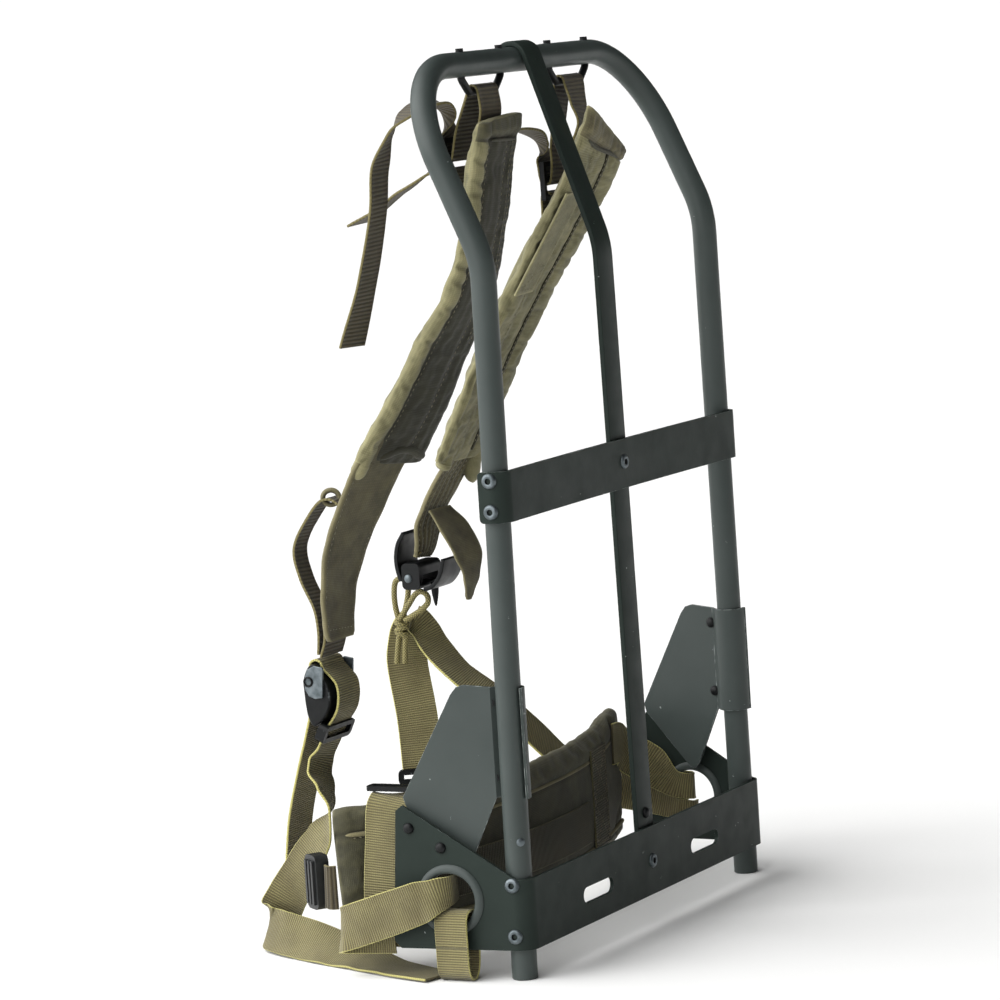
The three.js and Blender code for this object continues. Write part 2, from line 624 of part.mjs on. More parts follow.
// Sliders: a flat black frame with three rungs.
const SLIDER = { width: 33, thick: 3, rung: 3, side: 2.8, top: 10, bottom: 12.5 };
function windowBetween(low, high, width) {
  return polygon([[-width / 2, low], [width / 2, low], [width / 2, high], [-width / 2, high]]);
}
function sliderGeometry() {
  const plate = windowBetween(-SLIDER.bottom, SLIDER.top, SLIDER.width);
  const opening = SLIDER.width - 2 * SLIDER.side;
  const half = SLIDER.rung / 2;
  return cut(
    alongY(plate, -SLIDER.thick / 2, SLIDER.thick / 2),
    alongY(windowBetween(half, SLIDER.top - SLIDER.rung, opening), -5, 5),
    alongY(windowBetween(SLIDER.rung - SLIDER.bottom, -half, opening), -5, 5));
}
for (const [side, place] of [['left', sliderLeft], ['right', sliderRight]]) {
  addPiece(`slider_${side}`, sliderGeometry(), BLACK).position.set(place.x, place.y, place.z);
}

// Anchors: short webbing from each pad's face hooked over the slider's lowest rung.
const RUNG_DROP = SLIDER.bottom - SLIDER.rung / 2;
const ANCHOR_R = 3.4;
const anchorLeft = [
  { x: -50.5, y: 53, z: 402 },
  { x: -49, y: 50, z: 418 },
  { x: -47, y: 53.5, z: 430 },
  ...roundRung(-46.5, sliderLeft.y, sliderLeft.z - RUNG_DROP, ANCHOR_R, 190, -20),
];
const anchorRight = [
  { x: 57.5, y: 64, z: 396 },
  { x: 57, y: 58, z: 405.5 },
  { x: 56.3, y: 57, z: 412 },
  ...roundRung(56, sliderRight.y, sliderRight.z - RUNG_DROP, ANCHOR_R, -8, 150, 3),
];
addPiece('anchor_left', strap(anchorLeft), OLIVE);
addPiece('anchor_right', strap(anchorRight), OLIVE);

// Pull loop on the wearer's side of the left tab.
const pullLoop = [
  { x: -77, y: 129.4, z: 250, turn: -10 },
  { x: -77.5, y: 136, z: 257.5, turn: -6 },
  { x: -78, y: 144, z: 258 },
  { x: -79, y: 154.5, z: 247 },
  { x: -80, y: 163.5, z: 230 },
  { x: -81, y: 160, z: 213 },
  { x: -82, y: 151.5, z: 195 },
  { x: -83, y: 149.4, z: 181 },
  { x: -83, y: 150.4, z: 169.6 },
];
addPiece('pull_loop', strap(pullLoop.map((row) => ({ width: 15, ...row }))), OLIVE);

// Left quick release: black frame, grey lever channel and a black keeper for the webbing.
const quickLeft = { x: -83, y: 151, z: 146, lean: 0.08 };
const QUICK = { width: 34, height: 38, thick: 4, window: 27.5, topRung: 4 };
function quickFrame() {
  const half = QUICK.height / 2;
  return cut(
    alongY(roundedBox(QUICK.width, QUICK.height, 4), -QUICK.thick / 2, QUICK.thick / 2),
    alongY(windowBetween(half - QUICK.topRung - 7, half - QUICK.topRung, QUICK.window), -5, 5),
    alongY(windowBetween(3 - half, 8 - half, QUICK.window), -5, 5));
}
const quickLeftGroup = new THREE.Group();
quickLeftGroup.position.set(quickLeft.x, quickLeft.y, quickLeft.z);
quickLeftGroup.rotation.x = quickLeft.lean;
rucksack.add(quickLeftGroup);
addPiece('quick_frame_left', quickFrame(), BLACK, quickLeftGroup);
const LEVER = { cheek: 18.4, depth: 13.3, from: -7, low: -6, high: 20, thick: 1.6, pin: 2.6 };
const leverPlan = sheetShape([
  new THREE.Vector3(-LEVER.cheek, LEVER.from, 0),
  new THREE.Vector3(-LEVER.cheek, LEVER.from + LEVER.depth - 3, 0),
  new THREE.Vector3(-LEVER.cheek + 3, LEVER.from + LEVER.depth, 0),
  new THREE.Vector3(LEVER.cheek - 3, LEVER.from + LEVER.depth, 0),
  new THREE.Vector3(LEVER.cheek, LEVER.from + LEVER.depth - 3, 0),
  new THREE.Vector3(LEVER.cheek, LEVER.from, 0),
], LEVER.thick);
const leverSide = polygon([
  [-9, LEVER.low + 4], [-4, LEVER.low], [1, LEVER.low + 1], [9, LEVER.low + 9],
  [9, LEVER.high - 8], [2, LEVER.high - 1], [-4, LEVER.high], [-9, LEVER.high - 4],
]);
addPiece('quick_lever_left', cut(
  common(raised(leverPlan, -20, 20), alongX(leverSide, -20, 20)),
  drill(new THREE.Vector3(0, -0.6, 7), new THREE.Vector3(1, 0, 0), LEVER.pin, 50)), STEEL, quickLeftGroup);
const keeperLeft = { x: -83, y: 147, z: 125.4, lean: 0.465 };
addPiece('strap_keeper_left', cut(
  alongY(roundedBox(33, 11, 3), -3, 3),
  alongY(windowBetween(-2.5, 2.5, 27), -5, 5),
  alongX(polygon([[-1.3, -20], [1.3, -20], [1.3, 20], [-1.3, 20]]), -13.5, 13.5)), BLACK)
  .position.set(keeperLeft.x, keeperLeft.y, keeperLeft.z);
rucksack.getObjectByName('strap_keeper_left').rotation.x = keeperLeft.lean;

// Short webbing that holds the quick release to the left tab.
const quickStrapLeft = [
  { x: -83.3, y: 142.3, z: 190 },
  { x: -83, y: 142.8, z: 178 },
  { x: -83, y: 146, z: 169 },
];
addPiece('quick_strap_left', strap(quickStrapLeft, { steps: 2 }), OLIVE);

// Left lower strap: loose end, over the quick release, through the keeper, round on the floor to the ring.
const rungLeft = {
  y: quickLeft.y - Math.sin(quickLeft.lean) * (QUICK.height / 2 - QUICK.topRung / 2),
  z: quickLeft.z + Math.cos(quickLeft.lean) * (QUICK.height / 2 - QUICK.topRung / 2),
};
const lowerLeft = [
  { x: -76, y: 182, z: 46, turn: -4 },
  { x: -77.5, y: 177, z: 73, turn: -4 },
  { x: -80, y: 167.5, z: 101.5, turn: -4 },
  { x: -82.5, y: 158.8, z: 125, turn: -2 },
  { x: -83, y: 155.2, z: 138 },
  { x: -83, y: 154.2, z: 150 },
  ...roundRung(-83, rungLeft.y, rungLeft.z, 4.3, -10, 185),
  { x: -83, y: 139.4, z: 152 },
  { x: -83, y: 141.6, z: 137 },
  { x: -83, y: keeperLeft.y, z: keeperLeft.z },
  { x: -83, y: 151.6, z: 116.4 },
  { x: -84.4, y: 156.4, z: 108, turn: -6 },
  { x: -87, y: 156.6, z: 100.5, turn: 0 },
  { x: -91, y: 151.5, z: 91, turn: 14 },
  { x: -95, y: 147.5, z: 79, turn: 28, lift: 4 },
  { x: -98, y: 154, z: 64, turn: 58, lift: 20 },
  { x: -97, y: 165, z: 48, turn: 76, lift: 42 },
  { x: -97, y: 177, z: 31, turn: 84, lift: 66 },
  { x: -101, y: 183.6, z: 18.4, turn: 92, lift: 92 },
  { x: -110, y: 184, z: 14, turn: 125, lift: 108 },
  { x: -117, y: 173.5, z: 13, turn: 155, lift: 112 },
  { x: -123, y: 155, z: 11, turn: 163, lift: 124 },
  { x: -131, y: 128, z: 7.6, turn: 166, lift: 146 },
  { x: -138, y: 105, z: 4, turn: 170, lift: 166 },
  { x: -147, y: 82, z: 2, turn: 174, lift: 177 },
  { x: -155, y: 60, z: 1.6, turn: 178, lift: 180 },
  { x: -158.6, y: 47, z: 1.6, turn: 178, lift: 180 },
];
addPiece('lower_strap_left', strap(lowerLeft), OLIVE);

// Ring loop: webbing sewn in a ring round the strip of plate below the left side hole.
const loopSection = [
  [165.2, 20], [165.3, 30], [164.4, 36.4], [161.6, 38.9], [158.5, 39.1], [155.4, 38.9],
  [152, 36.6], [151, 30], [151.4, 15], [153.4, 5], [157, 1.1], [161, 1.1], [164.6, 6],
];
const ringLoop = loopSection.map(([x, z]) => ({ x: -x, y: RING.y - 2.2, z, turn: 90, width: 20 }));
addPiece('ring_loop_left', strap(ringLoop, { closed: true }), OLIVE);

// Waist strap that comes out of the left ring and folds back beside the pad.
const waistLeft = [
  { x: -139, y: 43.5, z: 51, lift: 90, width: 20 },
  { x: -150, y: 38.8, z: 50.6, lift: 90, width: 17 },
  { x: -158.5, y: 37, z: 50.2, lift: 90, width: 16.4 },
  { x: -165.8, y: 41.5, z: 48.8, lift: 88, width: 19 },
  { x: -168.4, y: 54, z: 44, turn: -90, lift: 76, width: 24 },
  { x: -168.8, y: 74, z: 37, turn: -90, lift: 72 },
  { x: -168.6, y: 92, z: 31, turn: -90, lift: 72 },
  { x: -166.5, y: 102, z: 27.5, turn: -90, lift: 78 },
  { x: -162, y: 105.5, z: 25.5, turn: -90, lift: 88 },
  { x: -158, y: 102, z: 24.6, turn: 90, lift: 84 },
  { x: -156, y: 92, z: 24.4, turn: 90, lift: 82 },
  { x: -155.6, y: 76, z: 25, turn: 90, lift: 82 },
];
addPiece('waist_strap_left', strap(waistLeft), OLIVE);

// Kidney pad: a curved back pad, a row for each section from its right end to its left end.
const kidney = [
  { x: 146, y: 84, z: 62, width: 74, thick: 6 },
  { x: 137, y: 81.2, z: 62, width: 79 },
  { x: 119, y: 76.8, z: 61, width: 79 },
  { x: 92, y: 70, z: 59.5, width: 77 },
  { x: 50, y: 62.4, z: 58.5 },
  { x: 0, y: 58, z: 58 },
  { x: -50, y: 59.5, z: 57 },
  { x: -98, y: 67.5, z: 56 },
  { x: -133, y: 85.5, z: 55.5, width: 78 },
  { x: -148, y: 104.5, z: 55, width: 78 },
  { x: -152, y: 111.5, z: 54.6, width: 76, thick: 7 },
];
const kidneyTable = kidney.map((row) => ({ lift: 90, width: 76, thick: KIDNEY_THICK, ...row }));
addPiece('kidney_pad', strap(kidneyTable, { outline: PILLOW, steps: 2 }), CLOTH);

// Places on the frame side of the kidney pad, for what is sewn to it.
const kidneyCurve = new THREE.CatmullRomCurve3(
  kidney.map((row) => new THREE.Vector3(row.x, row.y, row.z)), false, 'centripetal');
function kidneyFace(share, height, off) {
  const point = kidneyCurve.getPoint(share);
  const along = kidneyCurve.getTangent(share);
  const out = new THREE.Vector3(along.y, -along.x, 0).normalize();
  out.multiplyScalar(Math.sign(-out.y) * (KIDNEY_THICK / 2 + off));
  return { x: point.x + out.x, y: point.y + out.y, z: height };
}
const SEWN = SEAT + WEB / 2 + 0.6;
const padBelt = [0.78, 0.72, 0.63, 0.54, 0.46, 0.395].map(
  (share) => ({ ...kidneyFace(share, 47, SEWN), lift: 90 }));
addPiece('pad_belt', strap(padBelt, { steps: 2 }), OLIVE);
const patchPlace = kidneyFace(0.34, 0, SEWN - 0.2);
const patchTurn = 10;
addPiece('pad_patch', strap([88, 58, 28].map(
  (z) => ({ x: patchPlace.x, y: patchPlace.y, z, turn: patchTurn, width: 30 })), { steps: 2 }), OLIVE);

// Pad strap on the left: from the pad's face up and over, then down outside beside the wing.
const padStrapLeft = [
  { ...kidneyFace(0.788, 70, SEWN), turn: 150 },
  { ...kidneyFace(0.788, 88, SEWN + 0.4), turn: 146 },
  { x: -137, y: 77.6, z: 98, turn: 128 },
  { x: -144, y: 77, z: 100, turn: 108 },
  { x: -149.6, y: 78, z: 96, turn: 95 },
  { x: -151.6, y: 80.5, z: 72, turn: 90 },
  { x: -152.8, y: 82.5, z: 46, turn: 90 },
  { x: -153.3, y: 83, z: 16, turn: 90 },
];
addPiece('pad_strap_left', strap(padStrapLeft), OLIVE);
addPiece('pad_slider_left', cut(
  raised(roundedBox(9, 32, 2), -1.4, 1.4),
  raised(roundedBox(3.4, 26, 1), -5, 5)), BLACK).position.set(-142.5, 77.2, 103.7);

// Pad strap on the right: from the pad's end through the right ring.
const padStrapRight = [
  { ...kidneyFace(0.23, 83, SEWN + 0.5), turn: 90, lift: 90 },
  { ...kidneyFace(0.16, 81, SEWN + 1.6), turn: 90, lift: 90 },
  { x: 136.5, y: 70.1, z: 74.5, turn: 90, lift: 90 },
  { x: 145.5, y: 61, z: 65.4, turn: 100, lift: 86 },
  { x: 152, y: 47.5, z: 52.4, turn: 110, lift: 88, width: 16 },
  { x: 158.6, y: 37.4, z: 49.6, turn: 110, lift: 90, width: 15.4 },
  { x: 166, y: 42, z: 49.6, turn: 110, lift: 90, width: 16 },
  { x: 168, y: 58, z: 46, turn: 110, lift: 88, width: 24 },
];
addPiece('pad_strap_right', strap(padStrapRight), OLIVE);

// Waist buckle at the left end of the kidney pad, on a short belt.
const beltLeft = [
  { x: -152.3, y: 112.4, z: 48, lift: 90 },
  { x: -153.8, y: 116.4, z: 48, lift: 90 },
  { x: -151.4, y: 120.6, z: 48.4, lift: 90 },
];
addPiece('belt_left', strap(beltLeft, { steps: 2 }), OLIVE);
const BUCKLE = { long: 15, high: 31, thick: 8, rib: 1.6, pitch: 4 };
const buckleShape = [];
for (let rib = -1; rib <= 1; rib += 1) {
  buckleShape.push(new THREE.BoxGeometry(BUCKLE.rib + 0.6, 2 * BUCKLE.rib, BUCKLE.high - 6)
    .translate(rib * BUCKLE.pitch, -BUCKLE.thick / 2, 0));
}
const buckle = addPiece('waist_buckle_left', join(
  alongY(roundedBox(BUCKLE.long, BUCKLE.high, 4), -BUCKLE.thick / 2, BUCKLE.thick / 2),
  ...buckleShape), BLACK);
buckle.position.set(-146.3, 128.2, 50);
buckle.rotation.z = THREE.MathUtils.degToRad(-126);

// Right quick release: frame, front lever and rear lever in black.
const quickRight = { x: 73, y: 169.3, z: 193 };
const quickRightGroup = new THREE.Group();
quickRightGroup.position.set(quickRight.x, quickRight.y, quickRight.z);
rucksack.add(quickRightGroup);
const BLOCK = { width: 28, height: 16, thick: 12 };
addPiece('quick_frame_right', cut(
  alongX(roundedBox(BLOCK.thick, BLOCK.height, 3), -BLOCK.width / 2, BLOCK.width / 2),
  alongY(windowBetween(-4.5, 0.5, 20), -10, 10)), BLACK, quickRightGroup);
const frontLever = [
  new THREE.Vector3(7.6, -3, 0), new THREE.Vector3(9.6, 4, 0), new THREE.Vector3(10, 12, 0),
  new THREE.Vector3(8, 20, 0), new THREE.Vector3(4, 26, 0),
];
addPiece('quick_lever_right', alongX(sheetShape(frontLever, 2.6), -13, 13), BLACK, quickRightGroup);
const rearLever = [
  new THREE.Vector3(-8, -8, 0), new THREE.Vector3(-13.5, -6, 0), new THREE.Vector3(-19, 0.5, 0),
  new THREE.Vector3(-22, 10, 0),
];
const rearPin = new THREE.ConeGeometry(2.2, 14, 8).rotateX(-Math.PI / 2).translate(0, -8.6, -13);
addPiece('quick_hook_right', join(
  alongX(sheetShape(rearLever, 2.6), -13, 13), rearPin), BLACK, quickRightGroup);
const quickStrapRight = [
  { x: 74.6, y: 166.8, z: 206.1, turn: 12, width: 22 },
  { x: 74.3, y: 167.4, z: 204.9, turn: 6, width: 22 },
  { x: 74, y: 168.4, z: 203.2, width: 22 },
];
addPiece('quick_strap_right', strap(quickStrapRight, { steps: 2 }), OLIVE);

// Cord loops from the right quick release to a knot with two short ends.
const cordX = 73;
const cordLoops = {
  cord_front: { x: 75, route: [
    [188.4, 164.6], [190.6, 175], [189.2, 184.5], [184, 190], [180.2, 184], [182.4, 173.4], [185.8, 164.6],
  ] },
  cord_rear: { x: 71, route: [
    [185.6, 164.8], [178, 174.8], [173.4, 180.6], [168, 182.8], [164.8, 177.6], [171, 170.6], [181.8, 164.4],
  ] },
};
for (const [name, { x, route }] of Object.entries(cordLoops)) {
  const curve = new THREE.CatmullRomCurve3(route.map(([y, z]) => new THREE.Vector3(x, y, z)));
  addPiece(name, roundSweep(curve.getPoints(11), CORD_R, 8), CORD);
}
const KNOT = { y: 185.4, z: 159 };
const knotProfile = [[0, -4.5], [3.2, -4.5], [4.6, -2], [4.2, 0], [4.6, 2], [3.2, 4.5], [0, 4.5]].map(
  ([r, h]) => new THREE.Vector2(r, h));
const knotBody = new THREE.LatheGeometry(knotProfile, 10)
  .rotateX(Math.PI / 2)
  .translate(cordX, KNOT.y, KNOT.z);
const cordEnds = [[0.4, 188], [-0.2, 183.6]].map(([shift, y]) => roundSweep([
  new THREE.Vector3(cordX, y - 1, KNOT.z - 2),
  new THREE.Vector3(cordX - 0.5, y + shift, KNOT.z - 10),
  new THREE.Vector3(cordX - 1, y + 2 * shift + 1, KNOT.z - 21),
], CORD_R, 8));
addPiece('cord_knot', join(knotBody, ...cordEnds), CORD);

// Right lower strap: loose end up to the cords, folded there, then across to the right ring.
const lowerRight = [
  { x: 84, y: 183.4, z: 71.6, turn: -62 },
  { x: 84, y: 185, z: 103, turn: -60 },
  { x: 84, y: 189.4, z: 137.6, turn: -58 },
  { x: 84.5, y: 189, z: 153.6, turn: -58, width: 21 },
  { x: 84.8, y: 184, z: 164, turn: -56, width: 17, lift: 6 },
  { x: 87, y: 178, z: 158, turn: -40, width: 18, lift: 12 },
  { x: 87.5, y: 171.4, z: 147, turn: -15, width: 22, lift: 18 },
  { x: 88, y: 155, z: 129.6, turn: 10, lift: 22 },
  { x: 94, y: 134, z: 113, turn: 15, lift: 22 },
  { x: 112, y: 118, z: 88, turn: 10, lift: 24 },
  { x: 129, y: 108.5, z: 69, turn: 20, lift: 32 },
  { x: 143, y: 101, z: 57, turn: 50, lift: 58 },
  { x: 152, y: 87, z: 48.4, turn: 84, lift: 78, width: 23 },
  { x: 153.4, y: 71, z: 43.6, turn: 90, lift: 86, width: 20 },
  { x: 153.4, y: 55, z: 39, turn: 90, lift: 88, width: 15 },
  { x: 154.4, y: 43, z: 36.6, turn: 90, lift: 89, width: 11 },
  { x: 159, y: 37.4, z: 36, turn: 90, lift: 90, width: 9.4 },
  { x: 164, y: 37.6, z: 35.4, turn: 90, lift: 90, width: 10 },
  { x: 166, y: 41.4, z: 33, turn: 90, lift: 90, width: 10 },
];
addPiece('lower_strap_right', strap(lowerRight), OLIVE);
addPiece('strap_end_right', cut(
  alongY(roundedBox(31, 9, 3), -2.6, 2.6),
  alongY(windowBetween(-1.6, 1.6, 24), -5, 5)), BLACK);
const endClip = rucksack.getObjectByName('strap_end_right');
endClip.position.set(84, 183.2, 66.4);
endClip.rotation.z = THREE.MathUtils.degToRad(-62);

// Stands the part with the middle of its box over the origin.
rucksack.updateMatrixWorld(true);
const box = new THREE.Box3();
rucksack.traverse((node) => {
  if (node.isMesh) box.expandByObject(node, true);
});
rucksack.position.set(-(box.min.x + box.max.x) / 2, -(box.min.y + box.max.y) / 2, -box.min.z);
rucksack.updateMatrixWorld(true);

export default rucksack;
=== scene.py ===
"""A military rucksack's carrying frame with its shoulder straps, kidney pad and webbing.

Sizes are drawing millimetres. The drawing's zero is on the floor midway between the legs, with x to the
wearer's right, y towards the wearer and z up, and place() turns them to metres in the part's frame.
"""
import math
from collections import namedtuple

import bmesh
import bpy
import numpy as np
from mathutils import Matrix, Vector


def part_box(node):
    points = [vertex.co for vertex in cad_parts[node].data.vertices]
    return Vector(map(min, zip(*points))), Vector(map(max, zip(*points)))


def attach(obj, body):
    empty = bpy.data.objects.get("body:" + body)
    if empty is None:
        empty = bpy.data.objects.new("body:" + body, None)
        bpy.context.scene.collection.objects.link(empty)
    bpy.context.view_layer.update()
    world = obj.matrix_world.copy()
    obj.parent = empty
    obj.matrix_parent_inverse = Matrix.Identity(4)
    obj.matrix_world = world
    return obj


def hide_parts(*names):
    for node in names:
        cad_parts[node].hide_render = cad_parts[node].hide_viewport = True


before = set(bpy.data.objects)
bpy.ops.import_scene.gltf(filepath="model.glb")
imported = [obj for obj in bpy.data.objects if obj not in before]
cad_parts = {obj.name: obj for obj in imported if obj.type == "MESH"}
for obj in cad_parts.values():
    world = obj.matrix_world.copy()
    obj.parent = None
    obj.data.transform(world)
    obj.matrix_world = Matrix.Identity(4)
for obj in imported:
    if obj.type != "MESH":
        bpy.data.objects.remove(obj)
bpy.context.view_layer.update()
SCENE = bpy.context.scene
MM = 0.001
SIDES = (("left", -1), ("right", 1))

# Driving sizes of the metal frame
TUBE_R = 7.15
TUBE_WALL = 1.6
LEG_FOOT_X = 147.5
KNEE_X, KNEE_Z, RIGHT_KNEE_Z, KNEE_BEND = 142.6, 396, 402, 60
TOP_X, TOP_Y, TOP_Z, TOP_BEND = 143.5, 44, 500.7, 54
SHEET = 2.3
SLEEVE_SHEET = 1.5
WRAP_R = TUBE_R + 0.6
SHEET_R = WRAP_R + SHEET / 2
BAND_LOW, BAND_HIGH, BAND_END, BAND_BOW = 253.3, 281.5, 6, 2.4
PLATE_LOW, PLATE_HIGH, PLATE_FRONT, PLATE_FLARE = 17.25, 56.7, 72.7, 162.5
WING_Z, WING_Y = 97.5, 66
SLOT_X, SLOT_Z, SLOT_LONG, SLOT_HIGH = 71, 34, 38, 9
RING_Y, RING_Z, RING_BORE, RING_HOLE, RING_RIM, RING_HALF = 37, 45, 15, 17, 20, 3.2
GUSSET_LOW, GUSSET_HIGH, GUSSET_FRONT_X, GUSSET_FRONT_Y, GUSSET_BEND_Y = 100.5, 162, 158, 62, 11
BAR_WIDTH, BAR_THICK, BAR_LOW, BAR_KNEE_Y, BAR_KNEE_Z = 20, 3, 20, -2, 395
LOOP_BAR_Z, LOOP_ROD, LOOP_SHOULDER = 485, 2.2, 8
STRAP_LOOPS = (("left", -70.5, -23), ("right", 38, 85.5))
RIVET_HEAD, RIVET_RISE = 4.2, 2.1
BAND_RIVETS = (("upper", 276.6), ("lower", 259.6))
FOOT_RIVETS = (("upper", 53.6), ("lower", 25.1))
WING_RIVETS = (("front", 59.5, 84.8), ("rear", 40.8, 74.1))
SLEEVE_RIVETS, SLEEVE_RIVET_Y = (("upper", 153), ("lower", 111.4)), 12.4
BAND_MIDDLE_Z, PLATE_MIDDLE_Z, BAR_FOOT_Z, LEG_PIN_Z = 268.5, 36.8, 64.6, 77
REAR_RIVET = 12.15

# Driving sizes of the cloth
WEB_WIDTH = 25
WEB = 1.6
PAD_WIDTH = 58
PAD_THICK = 11
KIDNEY_THICK = 10
TAB_THICK = 3
CORD_R = 1.75

# The drawing's zero in the part's frame, found from the boxes of the tube and the plate
tube_low, tube_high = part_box("frame_tube")
plate_low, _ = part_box("lower_plate")
ORIGIN = np.array([
    (tube_low.x + tube_high.x) / 2,
    plate_low.y + REAR_RIVET * MM,
    plate_low.z - PLATE_LOW * MM,
])


def place(points):
    """Drawing millimetres as metres in the part's frame."""
    return np.asarray(points, float) * MM + ORIGIN


# Finishes
def linear(code):
    """An sRGB hex colour as linear red, green, blue and alpha."""
    parts = [int(code[i:i + 2], 16) / 255 for i in (1, 3, 5)]
    return [p / 12.92 if p <= 0.04045 else ((p + 0.055) / 1.055) ** 2.4 for p in parts] + [1.0]


def per(size_mm):
    """How often a pattern of that size repeats in a metre."""
    return 1 / (size_mm * MM)


def wire(tree, node, inputs):
    """Sets a node's inputs by name or number, each to a value, a socket or another node's live output."""
    for key, value in inputs.items():
        if isinstance(value, bpy.types.Node):
            value = next(out for out in value.outputs if out.enabled)
        if isinstance(value, bpy.types.NodeSocket):
            tree.links.new(value, node.inputs[key])
        else:
            node.inputs[key].default_value = value


def add(tree, kind, inputs=None, **settings):
    """Adds a shader node with its settings and its inputs."""
    node = tree.nodes.new("ShaderNode" + kind)
    for key, value in settings.items():
        setattr(node, key, value)
    wire(tree, node, inputs or {})
    return node


def blank_finish(name):
    """A new material's node tree, its shader and the place on the piece in metres."""
    material = bpy.data.materials.new(name)
    material.use_nodes = True
    tree = material.node_tree
    return material, tree, tree.nodes["Principled BSDF"], add(tree, "TexCoord").outputs["Object"]


def enamelled_aluminium(name, dark, pale, sheen, rubbed):
    """Satin enamel sprayed on aluminium: even slate green, faintly cloudy, with a soft gleam and a few chips.

    rubbed is how much of it has worn through to pale metal, which is most along pressed edges.
    """
    material, tree, shader, spot = blank_finish(name)
    cloud = add(tree, "TexNoise", {"Vector": spot, "Scale": per(34), "Detail": 5})
    paint = add(tree, "Mix", {0: cloud, 6: linear(dark), 7: linear(pale)}, data_type="RGBA")
    chips = add(tree, "TexNoise", {"Vector": spot, "Scale": per(4.2), "Detail": 3, "Roughness": 0.6})
    bare = add(tree, "MapRange", {"Value": chips, 1: 0.735 - rubbed, 2: 0.76 - rubbed / 2})
    colour = add(tree, "Mix", {0: bare, 6: paint, 7: linear("#949B98")}, data_type="RGBA")
    handled = add(tree, "TexNoise", {"Vector": spot, "Scale": per(12), "Detail": 6})
    gloss = add(tree, "MapRange", {"Value": handled, 1: 0.3, 2: 0.7, 3: 0.34, 4: 0.47})
    peel = add(tree, "TexNoise", {"Vector": spot, "Scale": per(1.6), "Detail": 2})
    relief = add(tree, "Bump", {"Height": peel, "Strength": 0.07, "Distance": 0.4 * MM})
    wire(tree, shader, {"Base Color": colour, "Roughness": gloss, "Normal": relief, "IOR": 1.5,
                        "Specular IOR Level": sheen})
    return material


def japanned_steel(name, rubbed):
    """Black baked enamel on small pressed fittings: near black, half glossy, greyer where it is rubbed."""
    material, tree, shader, spot = blank_finish(name)
    cloud = add(tree, "TexNoise", {"Vector": spot, "Scale": per(7), "Detail": 5})
    black = add(tree, "Mix", {0: cloud, 6: linear("#0A0B0C"), 7: linear("#151718")}, data_type="RGBA")
    chips = add(tree, "TexNoise", {"Vector": spot, "Scale": per(2.5), "Detail": 3})
    bare = add(tree, "MapRange", {"Value": chips, 1: 0.74 - rubbed, 2: 0.8 - rubbed / 2})
    colour = add(tree, "Mix", {0: bare, 6: black, 7: linear("#62686A")}, data_type="RGBA")
    gloss = add(tree, "MapRange", {"Value": cloud, 1: 0.3, 2: 0.7, 3: 0.3, 4: 0.46})
    wire(tree, shader, {"Base Color": colour, "Roughness": gloss, "IOR": 1.5, "Specular IOR Level": 0.2})
    return material


def moulded_nylon():
    """Black nylon from a mould: soft black with a fine matt grain."""
    material, tree, shader, spot = blank_finish("black_moulded_nylon")
    cloud = add(tree, "TexNoise", {"Vector": spot, "Scale": per(5), "Detail": 4})
    colour = add(tree, "Mix", {0: cloud, 6: linear("#101112"), 7: linear("#242627")}, data_type="RGBA")
    gloss = add(tree, "MapRange", {"Value": cloud, 1: 0.3, 2: 0.7, 3: 0.38, 4: 0.55})
    grit = add(tree, "TexNoise", {"Vector": spot, "Scale": per(0.8), "Detail": 2})
    relief = add(tree, "Bump", {"Height": grit, "Strength": 0.12, "Distance": 0.2 * MM})
    wire(tree, shader, {"Base Color": colour, "Roughness": gloss, "Normal": relief, "IOR": 1.53})
    return material


def dull_steel():
    """Bare pressed steel: grey and dulled, stained in small clouds and finely rubbed."""
    material, tree, shader, spot = blank_finish("dull_pressed_steel")
    stain = add(tree, "TexNoise", {"Vector": spot, "Scale": per(5), "Detail": 6})
    share = add(tree, "MapRange", {"Value": stain, 1: 0.35, 2: 0.65})
    colour = add(tree, "Mix", {0: share, 6: linear("#4C5457"), 7: linear("#727A7E")}, data_type="RGBA")
    rub = add(tree, "TexNoise", {"Vector": spot, "Scale": per(1.5), "Detail": 4})
    gloss = add(tree, "MapRange", {"Value": rub, 1: 0.3, 2: 0.7, 3: 0.34, 4: 0.52})
    wire(tree, shader, {"Base Color": colour, "Roughness": gloss, "Metallic": 0.8})
    return material


